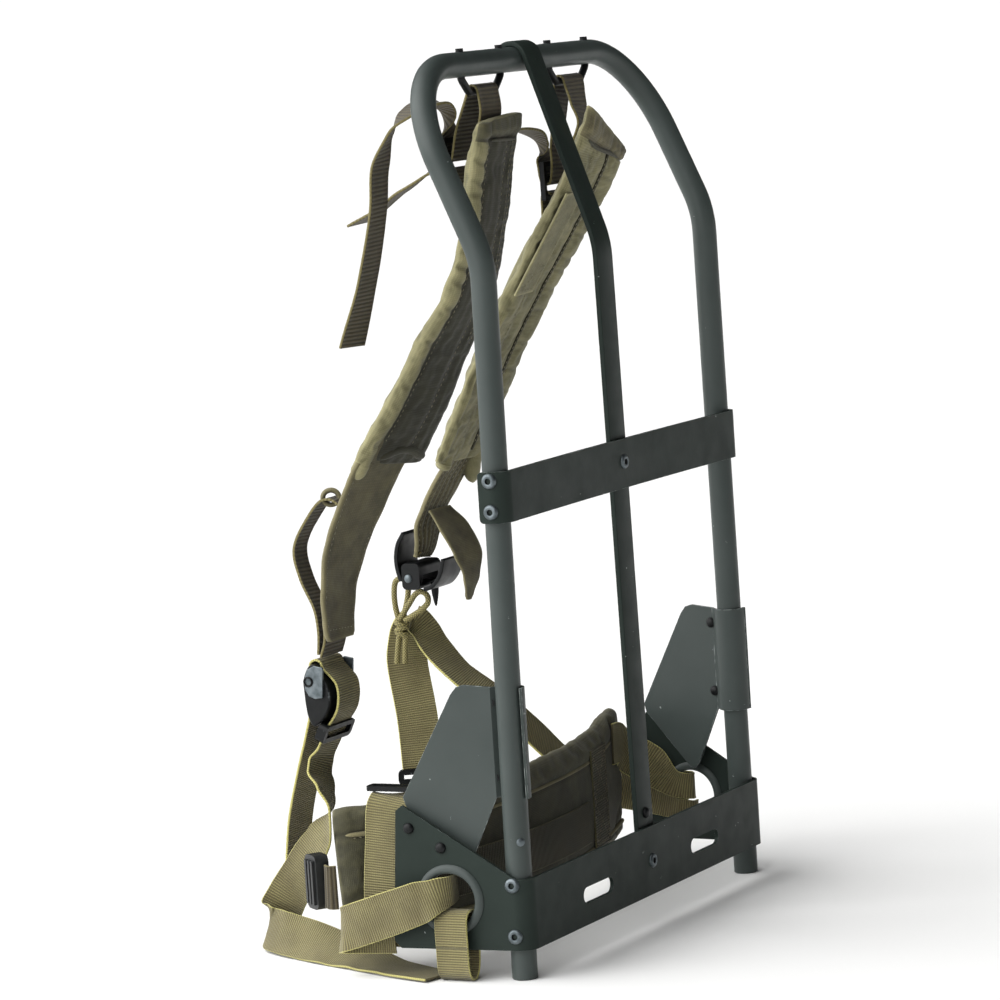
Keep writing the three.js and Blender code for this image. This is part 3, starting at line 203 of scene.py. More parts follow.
def nylon_webbing(name, gap, thread, selvedge, rib_mm, contrast):
    """Woven nylon webbing: ribs across it with dark gaps, crossed by warp threads, and pale rubbed edges.

    Real ribs are about 1.3 mm apart and real threads 0.6 mm. Both are drawn coarser so that they show.
    """
    material, tree, shader, spot = blank_finish(name)
    across, along, _ = add(tree, "SeparateXYZ", {0: add(tree, "UVMap", uv_map="cloth")}).outputs
    rib = add(tree, "Math", {0: along, 1: rib_mm / 2}, operation="PINGPONG")
    ridge = add(tree, "MapRange", {"Value": rib, 1: 0, 2: rib_mm / 2})
    warp_mm = 1.24
    warp = add(tree, "Math", {0: across, 1: warp_mm / 2}, operation="PINGPONG")
    thread_top = add(tree, "MapRange", {"Value": warp, 1: 0, 2: warp_mm / 2})
    crossing = add(tree, "Math", {0: ridge, 1: thread_top}, operation="MULTIPLY")
    height = add(tree, "Math", {0: crossing, 1: 0.5, 2: ridge}, operation="MULTIPLY_ADD")
    share = add(tree, "MapRange", {"Value": height, 1: 0.0, 2: 1.0, 3: 1 - contrast, 4: 1.0})
    woven = add(tree, "Mix", {0: share, 6: linear(gap), 7: linear(thread)}, data_type="RGBA")
    cloud = add(tree, "TexNoise", {"Vector": spot, "Scale": per(24), "Detail": 6})
    soil = add(tree, "MapRange", {"Value": cloud, 1: 0.4, 2: 0.7, 3: 0, 4: 0.5})
    soiled = add(tree, "Mix", {0: soil, 6: woven, 7: linear("#4C4229")}, data_type="RGBA")
    reach = add(tree, "Math", {0: across}, operation="ABSOLUTE")
    edge = add(tree, "MapRange", {"Value": reach, 1: WEB_WIDTH / 2 - 0.6, 2: WEB_WIDTH / 2 - 0.2})
    edged = add(tree, "Mix", {0: edge, 6: soiled, 7: linear(selvedge)}, data_type="RGBA")
    # Painted shade: an ambient-occlusion mask darkens the webbing towards near black where other parts come
    # within 8 mm.
    nook = add(tree, "AmbientOcclusion", {"Distance": 8 * MM}, samples=6).outputs["AO"]
    painted_nook_shade = add(tree, "MapRange", {"Value": nook, 1: 0.7, 2: 0.2, 3: 0, 4: 0.7})
    colour = add(tree, "Mix", {0: painted_nook_shade, 6: edged, 7: linear("#14120C")}, data_type="RGBA")
    relief = add(tree, "Bump", {"Height": height, "Strength": 0.8, "Distance": 0.45 * MM})
    wire(tree, shader, {"Base Color": colour, "Roughness": 0.8, "Normal": relief, "IOR": 1.5,
                        "Sheen Weight": 0.15, "Sheen Roughness": 0.5})
    return material


def coated_cloth(name, shade, light, fold):
    """Coated nylon cloth: a close plain weave, blotched by handling and rubbed pale on its folds.

    Real threads are about 0.5 mm apart. They are drawn coarser so that they show.
    """
    material, tree, shader, spot = blank_finish(name)
    across, along, _ = add(tree, "SeparateXYZ", {0: add(tree, "UVMap", uv_map="cloth")}).outputs
    thread_mm = 1.0
    weft = add(tree, "Math", {0: across, 1: thread_mm / 2}, operation="PINGPONG")
    warp = add(tree, "Math", {0: along, 1: thread_mm / 2}, operation="PINGPONG")
    weave = add(tree, "Math", {0: weft, 1: warp}, operation="MULTIPLY")
    cloud = add(tree, "TexNoise", {"Vector": spot, "Scale": per(16), "Detail": 7, "Roughness": 0.62})
    blotch = add(tree, "MapRange", {"Value": cloud, 1: 0.32, 2: 0.68})
    dyed = add(tree, "Mix", {0: blotch, 6: linear(shade), 7: linear(light)}, data_type="RGBA")
    pit = add(tree, "MapRange", {"Value": weave, 1: 0, 2: 0.15, 3: 0.35, 4: 0})
    woven = add(tree, "Mix", {0: pit, 6: dyed, 7: linear("#26231A")}, data_type="RGBA")
    # Raised folds are rubbed pale, and hollows and creases are darkened towards near black as painted shade.
    crest = add(tree, "NewGeometry").outputs["Pointiness"]
    rubbed = add(tree, "MapRange", {"Value": crest, 1: 0.5, 2: 0.58, 3: 0, 4: 0.65})
    hollow = add(tree, "MapRange", {"Value": crest, 1: 0.5, 2: 0.43, 3: 0, 4: 0.6})
    paler = add(tree, "Mix", {0: rubbed, 6: woven, 7: linear(fold)}, data_type="RGBA")
    with_crease_shade = add(tree, "Mix", {0: hollow, 6: paler, 7: linear("#1E1C14")}, data_type="RGBA")
    # Painted shade: an ambient-occlusion mask darkens the cloth where other parts come within 8 mm.
    nook = add(tree, "AmbientOcclusion", {"Distance": 8 * MM}, samples=6).outputs["AO"]
    painted_nook_shade = add(tree, "MapRange", {"Value": nook, 1: 0.8, 2: 0.25, 3: 0, 4: 0.75})
    colour = add(tree, "Mix", {0: painted_nook_shade, 6: with_crease_shade, 7: linear("#14120C")}, data_type="RGBA")
    crumple = add(tree, "TexNoise", {"Vector": spot, "Scale": per(8), "Detail": 5})
    height = add(tree, "Math", {0: weave, 1: 0.8, 2: crumple}, operation="MULTIPLY_ADD")
    relief = add(tree, "Bump", {"Height": height, "Strength": 0.6, "Distance": 1.1 * MM})
    wire(tree, shader, {"Base Color": colour, "Roughness": 0.74, "Normal": relief, "IOR": 1.5,
                        "Sheen Weight": 0.1, "Sheen Roughness": 0.5})
    return material


def spun_thread():
    """Waxed sewing thread: pale olive with a slight shine, soiled in places."""
    material, tree, shader, spot = blank_finish("olive_sewing_thread")
    cloud = add(tree, "TexNoise", {"Vector": spot, "Scale": per(5), "Detail": 3})
    colour = add(tree, "Mix", {0: cloud, 6: linear("#55503A"), 7: linear("#A9A287")}, data_type="RGBA")
    wire(tree, shader, {"Base Color": colour, "Roughness": 0.6, "IOR": 1.5})
    return material


def braided_cord():
    """Braided nylon cord: yellow-olive plaits crossing each other, with dark gaps."""
    material, tree, shader, _ = blank_finish("braided_nylon_cord")
    across, along, _ = add(tree, "SeparateXYZ", {0: add(tree, "UVMap", uv_map="cloth")}).outputs
    one_way = add(tree, "Math", {0: across, 1: along}, operation="ADD")
    other_way = add(tree, "Math", {0: across, 1: along}, operation="SUBTRACT")
    plait_mm = 1.8
    first = add(tree, "Math", {0: one_way, 1: plait_mm / 2}, operation="PINGPONG")
    second = add(tree, "Math", {0: other_way, 1: plait_mm / 2}, operation="PINGPONG")
    plait = add(tree, "Math", {0: first, 1: second}, operation="MULTIPLY")
    share = add(tree, "MapRange", {"Value": plait, 1: 0.0, 2: 0.4})
    colour = add(tree, "Mix", {0: share, 6: linear("#3A331A"), 7: linear("#A1985F")}, data_type="RGBA")
    relief = add(tree, "Bump", {"Height": plait, "Strength": 0.6, "Distance": 0.4 * MM})
    wire(tree, shader, {"Base Color": colour, "Roughness": 0.7, "Normal": relief, "IOR": 1.5})
    return material


def pale_floor():
    """Seamless studio paper: nearly white and matt."""
    material, tree, shader, spot = blank_finish("white_studio_paper")
    cloud = add(tree, "TexNoise", {"Vector": spot, "Scale": per(500)})
    colour = add(tree, "Mix", {0: cloud, 6: linear("#F7F7F6"), 7: linear("#FBFBFA")}, data_type="RGBA")
    wire(tree, shader, {"Base Color": colour, "Roughness": 0.9, "Specular IOR Level": 0.1})
    return material


PAINT = enamelled_aluminium("satin_enamel_on_aluminium", "#363D3B", "#454C4A", 0.27, 0.0)
RUBBED_PAINT = enamelled_aluminium("rubbed_enamel_edge", "#363D3B", "#454C4A", 0.27, 0.28)
# The band, the lower plate and the centre bar take a less glossy copy of the enamel whose darker colours are
# painted shade.
SHADED_SHEET_PAINT = enamelled_aluminium("matt_enamel_with_painted_shade", "#212825", "#2E3632", 0.08, 0.0)
SHADED_RUBBED_SHEET = enamelled_aluminium("rubbed_sheet_edge_with_painted_shade", "#212825", "#2E3632", 0.1, 0.35)
BLACK = japanned_steel("black_japanned_steel", 0.0)
RUBBED_BLACK = japanned_steel("rubbed_japanned_edge", 0.14)
NYLON = moulded_nylon()
STEEL = dull_steel()
WEBBING = nylon_webbing("olive_nylon_webbing", "#2E2817", "#8C8456", "#B8B16B", 1.4, 0.85)
# Dark olive tape for the kidney pad's belt and patch, darkened further as painted shade where it lies in
# shadow.
OLIVE_TAPE = nylon_webbing("dark_olive_tape_with_painted_shade", "#1F1D12", "#4B472F", "#5C5838", 1.5, 0.8)
# Brown webbing with coarser ribs, its colours darkened further as painted shade for straps seen on their
# shaded side.
DARK_WEBBING = nylon_webbing("brown_webbing_with_painted_shade", "#1C170F", "#4A422B", "#706840", 2.4, 0.95)
CLOTH = coated_cloth("olive_coated_cloth", "#625F3F", "#8F8A62", "#B2AC82")
TAB_CLOTH = coated_cloth("worn_tab_cloth", "#403C27", "#6C6545", "#958D67")
# A darker copy of the olive cloth: painted shade on the kidney pad, the left pad's hem and the kidney's left
# binding.
DARK_CLOTH = coated_cloth("olive_cloth_darkened_as_shade", "#302F1C", "#49472F", "#716C4A")
LINING = coated_cloth("dark_pad_lining", "#232312", "#31301A", "#3E3C27")
THREAD = spun_thread()
CORD = braided_cord()


# Making pieces
def make(name, points, faces, finishes, stands_for=(), places=None, finish_of=None, crisp=None):
    """A piece from drawing points and faces. places are its cloth millimetres, one pair for each point."""
    mesh = bpy.data.meshes.new(name)
    mesh.from_pydata([tuple(p) for p in place(points)], [], [tuple(f) for f in faces])
    for finish in finishes:
        mesh.materials.append(finish)
    if finish_of is not None:
        mesh.polygons.foreach_set("material_index", np.asarray(finish_of, np.int32))
    if places is not None:
        corner = np.zeros(len(mesh.loops), np.int32)
        mesh.loops.foreach_get("vertex_index", corner)
        layer = mesh.uv_layers.new(name="cloth")
        layer.data.foreach_set("uv", np.asarray(places, np.float32)[corner].ravel())
    body = bmesh.new()
    body.from_mesh(mesh)
    bmesh.ops.recalc_face_normals(body, faces=body.faces)
    body.to_mesh(mesh)
    body.free()
    mesh.polygons.foreach_set("use_smooth", np.ones(len(mesh.polygons), bool))
    if crisp is not None:
        mesh.set_sharp_from_angle(angle=math.radians(crisp))
    piece = bpy.data.objects.new(name, mesh)
    SCENE.collection.objects.link(piece)
    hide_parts(*stands_for)
    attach(piece, "root")
    return piece


def fitting_finishes(finish):
    """A fitting's finish, and the one along its edges."""
    return [finish, RUBBED_BLACK if finish is BLACK else finish]


def round_edges(piece, width, segments, bend):
    """Rounds edges that bend more than an angle in degrees, and gives them the piece's second finish."""
    edge = piece.modifiers.new("rounded_edges", "BEVEL")
    edge.width = width * MM
    edge.segments = segments
    edge.limit_method = "ANGLE"
    edge.angle_limit = math.radians(bend)
    edge.harden_normals = True
    edge.material = 1


def loft(sections, closed=False):
    """Points and faces of a skin over a row of matching outlines, capped at its ends unless it is a ring."""
    rows, sides = sections.shape[:2]
    faces = []
    for row in range(rows if closed else rows - 1):
        after = (row + 1) % rows
        for side in range(sides):
            turn = (side + 1) % sides
            faces.append((row * sides + side, row * sides + turn, after * sides + turn, after * sides + side))
    if not closed:
        faces.append(tuple(range(sides))[::-1])
        faces.append(tuple(range((rows - 1) * sides, rows * sides)))
    return sections.reshape(-1, 3), faces


def unit(vectors):
    """Vectors at a length of one."""
    return vectors / np.linalg.norm(vectors, axis=-1, keepdims=True)


def headings(points, closed=False):
    """The direction of travel at each point of a path."""
    if closed:
        return unit(np.roll(points, -1, 0) - np.roll(points, 1, 0))
    return unit(np.gradient(points, axis=0))


def run_along(points):
    """The distance travelled at each point of a path."""
    return np.concatenate([[0], np.cumsum(np.linalg.norm(np.diff(points, axis=0), axis=1))])


def read_at(spots, marks, values):
    """Rows of a table that lie at rising marks, read at any spots between them."""
    return np.stack([np.interp(spots, marks, column) for column in values.T], -1)


def cloth_places(across, run):
    """Places on a cloth in mm, one pair for each point of its sections."""
    return np.stack(np.broadcast_arrays(across[None], run[:, None]), 2).reshape(-1, 2)


def fillet(corners, radii, turn=0.06):
    """A path through corners, each rounded by an arc of its own radius."""
    corners = [np.array(c, float) for c in corners]
    path = [corners[0]]
    for before, corner, after, radius in zip(corners, corners[1:], corners[2:], radii):
        back, ahead = unit(before - corner), unit(after - corner)
        bend = math.pi - math.acos(np.clip(back @ ahead, -1, 1))
        middle = unit(back + ahead)
        centre = corner + middle * radius / math.cos(bend / 2)
        first = corner + back * radius * math.tan(bend / 2) - centre
        side = unit(-middle)
        swing = unit(first - side * (first @ side))
        steps = max(3, math.ceil(bend / turn))
        for angle in np.linspace(-bend / 2, bend / 2, steps + 1):
            path.append(centre + radius * (side * math.cos(angle) - swing * math.sin(angle)))
    path.append(corners[-1])
    return np.array(path)


def carried_frames(path):
    """Side and up vectors along a path that don't twist about it."""
    along = headings(path)
    side = np.array([1.0, 0, 0]) if abs(along[0][0]) < 0.8 else np.array([0, 1.0, 0])
    sides = []
    for heading in along:
        side = unit(side - heading * (side @ heading))
        sides.append(side)
    sides = np.array(sides)
    return sides, np.cross(along, sides)


def round_sections(path, radii, sides):
    """Circles along a path, each with its own radius."""
    across, up = carried_frames(path)
    angle = np.linspace(0, 2 * math.pi, sides, endpoint=False)
    radii = np.broadcast_to(radii, len(path))[:, None, None]
    ring = across[:, None] * np.cos(angle)[None, :, None] + up[:, None] * np.sin(angle)[None, :, None]
    return path[:, None] + radii * ring


def lathe(profile, sides=28):
    """Points and faces of a form turned about Z. Its pairs of radius and height start and end on the axis."""
    ring = np.linspace(0, 2 * math.pi, sides, endpoint=False)
    inner = profile[1:-1]
    points = [(r * math.cos(a), r * math.sin(a), h) for r, h in inner for a in ring]
    faces = []
    for row in range(len(inner) - 1):
        for k in range(sides):
            n = (k + 1) % sides
            faces.append((row * sides + k, row * sides + n, (row + 1) * sides + n, (row + 1) * sides + k))
    for end, row in ((profile[0], 0), (profile[-1], len(inner) - 1)):
        points.append((0, 0, end[1]))
        faces += [(row * sides + k, row * sides + (k + 1) % sides, len(points) - 1) for k in range(sides)]
    return np.array(points), faces


def aimed(points, spot, direction):
    """Points of a form about Z, turned to a direction and moved to a spot."""
    turn = np.array(Vector((0, 0, 1)).rotation_difference(Vector(direction)).to_matrix())
    return points @ turn.T + np.array(spot)


# Laying webbing: a row for each place, with the heading of the width (turn), its tip up (lift) and its slant
Row = namedtuple("Row", "x y z turn lift width thick slant", defaults=(0, 0, WEB_WIDTH, WEB, 0))
Lay = namedtuple("Lay", "point along across out width thick slant run")


def sample_route(knots, step, closed=False):
    """Places on a smooth curve through knots about a step apart, and the knot number that each lies at."""
    knots = np.asarray(knots, float)
    if closed:
        walk = np.vstack([knots[-1:], knots, knots[:2]])
    else:
        walk = np.vstack([2 * knots[:1] - knots[1:2], knots, 2 * knots[-1:] - knots[-2:-1]])
    points, marks = [], []
    for i in range(len(walk) - 3):
        a, b, c, d = walk[i:i + 4]
        gap = [math.sqrt(max(np.linalg.norm(q - p), 1e-6)) for p, q in ((a, b), (b, c), (c, d))]
        leave = ((b - a) / gap[0] - (c - a) / (gap[0] + gap[1]) + (c - b) / gap[1]) * gap[1]
        arrive = ((c - b) / gap[1] - (d - b) / (gap[1] + gap[2]) + (d - c) / gap[2]) * gap[1]
        share = np.linspace(0, 1, max(2, math.ceil(np.linalg.norm(c - b) / step)), endpoint=False)
        w = share[:, None]
        bow = 3 * (c - b) - 2 * leave - arrive
        points.append(b + leave * w + bow * w ** 2 + (2 * (b - c) + leave + arrive) * w ** 3)
        marks.append(i + share)
    if not closed:
        points.append(knots[-1:])
        marks.append([len(knots) - 1.0])
    return np.vstack(points), np.concatenate(marks)


def lay(table, step=1.6, closed=False):
    """Stations of a strap laid along its rows."""
    rows = np.array(table, float)
    point, mark = sample_route(rows[:, :3], step, closed)
    if closed:
        rows = np.vstack([rows, rows[:1]])
    low = np.minimum(mark.astype(int), len(rows) - 2)
    ease = mark - low
    ease = (ease * ease * (3 - 2 * ease))[:, None]
    turn, lift, width, thick, slant = (rows[low, 3:] * (1 - ease) + rows[low + 1, 3:] * ease).T
    turn, lift = np.radians(turn), np.radians(lift)
    along = headings(point, closed)
    across = np.stack([np.cos(turn) * np.cos(lift), np.sin(turn) * np.cos(lift), np.sin(lift)], 1)
    across = unit(across - along * np.sum(across * along, 1, keepdims=True))
    return Lay(point, along, across, np.cross(along, across), width, thick, slant, run_along(point))


def round_rung(x, y, z, radius, start_deg, end_deg, bends=4):
    """Rows of a strap bent round a rung that runs along X."""
    angles = np.radians(np.linspace(start_deg, end_deg, bends + 1))
    return [Row(x, y + radius * math.cos(a), z + radius * math.sin(a)) for a in angles]


def mirrored(half):
    """A whole outline from the quarter that runs from its right edge to its middle."""
    upper = half + [(-u, v) for u, v in half[::-1] if u > 0]
    return np.array(upper + [(u, -v) for u, v in upper[::-1] if abs(u) < 0.5])


# Webbing has a rolled selvedge, cut cloth rounded edges, a quilted tab sewn channels, and a plate square edges
SELVEDGED = mirrored([(0.5, 0), (0.497, 0.3), (0.484, 0.48), (0.462, 0.47), (0.44, 0.38), (0.3, 0.36),
                      (0.15, 0.36), (0, 0.36)])
HEMMED = mirrored([(0.5, 0), (0.496, 0.3), (0.48, 0.46), (0.45, 0.5), (0.42, 0.46), (0.3, 0.4),
                   (0.15, 0.4), (0, 0.4)])
CHANNELLED = mirrored([(0.5, 0), (0.495, 0.3), (0.47, 0.46)] + [
    (u, 0.4 + 0.13 * math.cos(2 * math.pi * 6 * u)) for u in np.linspace(0.44, 0, 23)])
PRESSED = mirrored([(0.5, 0), (0.5, 0.3), (0.494, 0.42), (0.48, 0.48), (0.46, 0.5), (0.2, 0.5), (0, 0.5)])


def strip_points(station, outline):
    """Points of an outline's sections along a strap."""
    u = outline[:, 0][None, :, None]
    v = outline[:, 1][None, :, None]
    sideways = station.across + station.along * station.slant[:, None]
    return (station.point[:, None] + sideways[:, None] * u * station.width[:, None, None]
            + station.out[:, None] * v * station.thick[:, None, None])


def ripple(run, across, depth):
    """Uneven waves of a cloth in mm, the same each time."""
    return depth * (np.sin(run / 5.1 + 2.3 * across) * 0.5 + np.sin(run / 2.9 - 4.1 * across + 1.0) * 0.25
                    + np.sin(run / 11.3 + 5.7 * across + 2.0) * 0.6)


def strap(name, table, finish=WEBBING, outline=SELVEDGED, closed=False, step=1.6, wrinkle=0,
          prefix="sewn_", stands_for=None):
    """A strap of webbing or cloth, or a bent plate, that stands for the solid of the same name."""
    station = lay(table, step, closed)
    sections = strip_points(station, outline)
    wave = ripple(station.run[:, None], outline[None, :, 0], wrinkle)
    sections += station.out[:, None] * wave[:, :, None]
    points, faces = loft(sections, closed)
    places = cloth_places(outline[:, 0] * WEB_WIDTH, station.run)
    nodes = [name] if stands_for is None else stands_for
    make(prefix + name, points, faces, [finish], nodes, places, crisp=50)
    return station


# Stitching, in mm, and where it lies as a share of the cloth's thickness from its middle
STITCH_PITCH, STITCH_LONG, STITCH_R, STITCH_SUNK = 3.4, 2.3, 0.34, 0.1
STITCH_RISE = 0.42


def on_strap(station, run, across, face, rise=STITCH_RISE):
    """Places on a strap's face from distances along it and shares across it, and the way out there.

    rise is how far they stand from the strap's middle, as a share of its thickness.
    """
    width = np.interp(run, station.run, station.width)
    slant = np.interp(run, station.run, station.slant)
    lift = np.interp(run, station.run, station.thick) * rise
    sideways = read_at(run, station.run, station.across)
    sideways = sideways + read_at(run, station.run, station.along) * slant[..., None]
    out = read_at(run, station.run, station.out) * face
    point = read_at(run, station.run, station.point)
    return point + sideways * (across * width)[..., None] + out * lift[..., None], out


def stitches(name, seams):
    """Rows of short stitches. A seam is a path of points with the way out of the cloth at each."""
    points, faces = [], []
    ring = [(1, 0.3), (0, 1.1), (-1, 0.3), (0, -0.5)]
    half = STITCH_LONG / 2
    for path, outward in seams:
        run = run_along(path)
        for middle in np.arange(STITCH_PITCH / 2, run[-1], STITCH_PITCH):
            start, centre, end = read_at([middle - half, middle, middle + half], run, path)
            out = unit(read_at(middle, run, outward))
            side = np.cross(unit(end - start + 1e-9), out)
            base = len(points)
            points += [start - out * STITCH_SUNK, end - out * STITCH_SUNK]
            points += [centre + (side * a + out * b) * STITCH_R for a, b in ring]
            for k in range(4):
                a, b = base + 2 + k, base + 2 + (k + 1) % 4
                faces += [(base, a, b), (base + 1, b, a)]
    make("stitches_" + name, np.array(points), faces, [THREAD])


def seam(station, runs, across, face=1, rise=STITCH_RISE):
    """A seam that follows shares of a strap's length at shares of its width."""
    steps = max(8, int(station.run[-1] / 1.5))
    share = np.linspace(0, 1, steps)
    spots = np.linspace(0, 1, len(runs))
    run = np.interp(share, spots, runs) * station.run[-1]
    return on_strap(station, run, np.interp(share, spots, across), face, rise)


def crossed_box(station, low, high, left, right, face=1):
    """The sewn box with a cross in it that holds one strap to another."""
    corners = [(low, left), (high, left), (high, right), (low, right), (low, left)]
    lines = list(zip(corners, corners[1:])) + [((low, left), (high, right)), ((low, right), (high, left))]
    return [seam(station, (a[0], b[0]), (a[1], b[1]), face) for a, b in lines]


# Sheet metal
def along_path(path, distance):
    """Points on a plan path at distances along it, and the way out to its left."""
    run = run_along(path)
    turn = unit(read_at(distance, run, headings(path)))
    return read_at(distance, run, path), np.stack([-turn[..., 1], turn[..., 0]], -1)


def bent_sheet(name, outline, holes, path, thick, folds, finishes):
    """A flat pattern of distances and heights with holes, bent along a plan path and given its thickness."""
    flat = bmesh.new()
    for loop in [outline] + holes:
        spots = [flat.verts.new((s, z, 0)) for s, z in loop]
        for a, b in zip(spots, spots[1:] + spots[:1]):
            flat.edges.new((a, b))
    bmesh.ops.triangle_fill(flat, edges=flat.edges[:], use_beauty=True)
    for fold in folds:
        whole = flat.verts[:] + flat.edges[:] + flat.faces[:]
        bmesh.ops.bisect_plane(flat, geom=whole, plane_co=(fold, 0, 0), plane_no=(1, 0, 0), dist=1e-5)
    flat.verts.index_update()
    pattern = np.array([v.co for v in flat.verts])
    faces = [[v.index for v in f.verts] for f in flat.faces]
    rim = [tuple(v.index for v in e.verts) for e in flat.edges if len(e.link_faces) == 1]
    flat.free()
    point, left = along_path(path, pattern[:, 0])
    sides = [np.column_stack([point + left * thick / 2 * way, pattern[:, 1]]) for way in (1, -1)]
    count = len(pattern)
    solid = faces + [[i + count for i in f[::-1]] for f in faces]
    solid += [(a, b, b + count, a + count) for a, b in rim]
    piece = make("pressed_" + name, np.vstack(sides), solid, finishes, [name], crisp=30)
    round_edges(piece, 0.5, 2, 40)


ARC_STEPS = 24


def arc(x, y, radius, start_angle, end_angle, steps=ARC_STEPS):
    """Points on an arc in a plane."""
    angle = np.linspace(start_angle, end_angle, steps + 1)
    return np.stack([x + radius * np.cos(angle), y + radius * np.sin(angle)], 1)


def rounded(corners, radius, steps=6):
    """A closed outline with its corners rounded."""
    whole = [np.array([*c, 0.0]) for c in corners]
    loop = []
    for i, corner in enumerate(whole):
        path = fillet([whole[i - 1], corner, whole[(i + 1) % len(whole)]], [radius], math.pi / 2 / steps)
        loop += [tuple(p[:2]) for p in path[1:-1]]
    return loop


def leg_x(z):
    """How far out the middle of a leg is at a height."""
    return LEG_FOOT_X - (LEG_FOOT_X - KNEE_X) * z / KNEE_Z


def build_tube():
    """One bent tube, open at both feet, with a short bore and a softened lip there."""
    corners = [(-LEG_FOOT_X, 0, 0), (-KNEE_X, 0, KNEE_Z), (-TOP_X, TOP_Y, TOP_Z), (TOP_X, TOP_Y, TOP_Z),
               (KNEE_X, 0, RIGHT_KNEE_Z), (LEG_FOOT_X, 0, 0)]
    path = fillet(corners, [KNEE_BEND, TOP_BEND, TOP_BEND, KNEE_BEND], 0.05)
    bore, depth, lip = TUBE_R - TUBE_WALL, 40, 0.5
    rise = np.array([0, 0, depth])
    tip = np.array([0, 0, lip])
    ends = [np.vstack([p + rise, p, p, p + tip]) for p in (path[0], path[-1])]
    radii = [bore, bore, TUBE_R - lip, TUBE_R]
    outer = round_sections(path, TUBE_R, 40)
    caps = []
    for foot, spots in zip((outer[0], outer[-1]), ends):
        ring = (foot - foot.mean(0)) / TUBE_R
        caps.append(np.stack([spot + ring * radius for spot, radius in zip(spots, radii)]))
    sections = np.concatenate([caps[0], outer[1:-1], caps[1][::-1]])
    points, faces = loft(sections)
    make("bent_frame_tube", points, faces, [PAINT], ["frame_tube"], crisp=40)


def build_band():
    """A flat band, bowed between the legs and wrapped round the outside of both."""
    leg = leg_x((BAND_LOW + BAND_HIGH) / 2)
    spread_x = np.linspace(-0.94, 0.94, 40) * leg
    bow = np.stack([spread_x, BAND_BOW * (1 - (spread_x / leg) ** 2) - SHEET_R], 1)
    path = np.vstack([[(-leg - SHEET_R, BAND_END)], arc(-leg, 0, SHEET_R, math.pi, 1.5 * math.pi), bow,
                      arc(leg, 0, SHEET_R, -0.5 * math.pi, 0), [(leg + SHEET_R, BAND_END)]])
    length = run_along(path)[-1]
    outline = rounded([(0, BAND_LOW), (length, BAND_LOW), (length, BAND_HIGH), (0, BAND_HIGH)], 2.5)
    wrap = BAND_END + SHEET_R * math.pi / 2
    folds = [*np.linspace(BAND_END, wrap, 18), *np.linspace(wrap, length - wrap, 24)[1:-1],
             *np.linspace(length - wrap, length - BAND_END, 18)]
    bent_sheet("mid_band", outline, [], path, SHEET, folds, [SHADED_SHEET_PAINT, SHADED_RUBBED_SHEET])


def build_plate():
    """A sheet bent round both legs, with slots, wings and ring holes.

    Returns how far out the face of its sides is beside the legs, and how much they flare.
    """
    leg = leg_x((PLATE_LOW + PLATE_HIGH) / 2)
    front = (PLATE_FLARE - SHEET / 2, PLATE_FRONT + 10)
    path = np.vstack([[(-front[0], front[1])], arc(-leg, 0, SHEET_R, math.pi, 1.5 * math.pi),
                      arc(leg, 0, SHEET_R, -0.5 * math.pi, 0), [front]])
    run = run_along(path)
    length, side = run[-1], run[1]
    slope = side / front[1]
    wing = [(PLATE_FRONT - 4, PLATE_LOW), (PLATE_FRONT, PLATE_LOW + 4), (WING_Y + 1, WING_Z - 3),
            (WING_Y - 3, WING_Z), (-3, PLATE_HIGH)]
    left = [(side - y * slope, z) for y, z in wing]
    right = [(length - s, z) for s, z in left]
    outline = left + right[::-1]
    holes = []
    for sign in (-1, 1):
        centre = length / 2 + sign * SLOT_X
        half, end = SLOT_LONG / 2, SLOT_HIGH / 2 - 0.01
        box = [(centre - half, SLOT_Z - end), (centre + half, SLOT_Z - end),
               (centre + half, SLOT_Z + end), (centre - half, SLOT_Z + end)]
        holes.append(rounded(box, end - 0.01, 10))
        s = length / 2 + sign * (length / 2 - side + RING_Y * slope)
        holes.append([(s + RING_HOLE * math.cos(a), RING_Z + RING_HOLE * math.sin(a))
                      for a in np.linspace(0, 2 * math.pi, 48, endpoint=False)])
    folds = [*np.linspace(side, run[ARC_STEPS + 1], 20), *np.linspace(run[ARC_STEPS + 2], length - side, 20)]
    bent_sheet("lower_plate", outline, holes, path, SHEET, folds, [SHADED_SHEET_PAINT, SHADED_RUBBED_SHEET])
    return leg + WRAP_R + SHEET, (PLATE_FLARE - leg - WRAP_R - SHEET) / (PLATE_FRONT + 10)


def build_gusset(side, sign):
    """A plate behind the wing, with a half sleeve round the leg."""
    axis = leg_x((GUSSET_LOW + GUSSET_HIGH) / 2)
    radius = WRAP_R + SLEEVE_SHEET / 2
    far_y = GUSSET_FRONT_Y + 8
    wrap = arc(0, 0, radius, -1.75, 1.0, 30)
    path = np.vstack([[(sign * (axis + 2.6), -radius - 0.6)],
                      np.stack([sign * (axis - wrap[:, 0]), wrap[:, 1]], 1),
                      [(sign * axis, GUSSET_BEND_Y)], [(sign * (GUSSET_FRONT_X - SHEET), far_y)]])
    run = run_along(path)
    bend, length = run[-2], run[-1]
    stretch = (length - bend) / (far_y - GUSSET_BEND_Y)
    edge = [(27, 66), (30.5, 62.8), (33.5, 63.5), (63.5, 96), (65, 101), (34, 158), (30.5, 162.2), (26, 163.5)]
    outline = [(0, GUSSET_LOW), (bend, GUSSET_LOW),
               *[(bend + (y - GUSSET_BEND_Y) * stretch, z) for y, z in edge],
               (bend - 1, GUSSET_HIGH), (0, GUSSET_HIGH)]
    folds = [*run[1:-1], *np.linspace(bend + 3, length, 5)[:-1]]
    bent_sheet("gusset_" + side, outline, [], path, SLEEVE_SHEET, folds, [PAINT, RUBBED_PAINT])


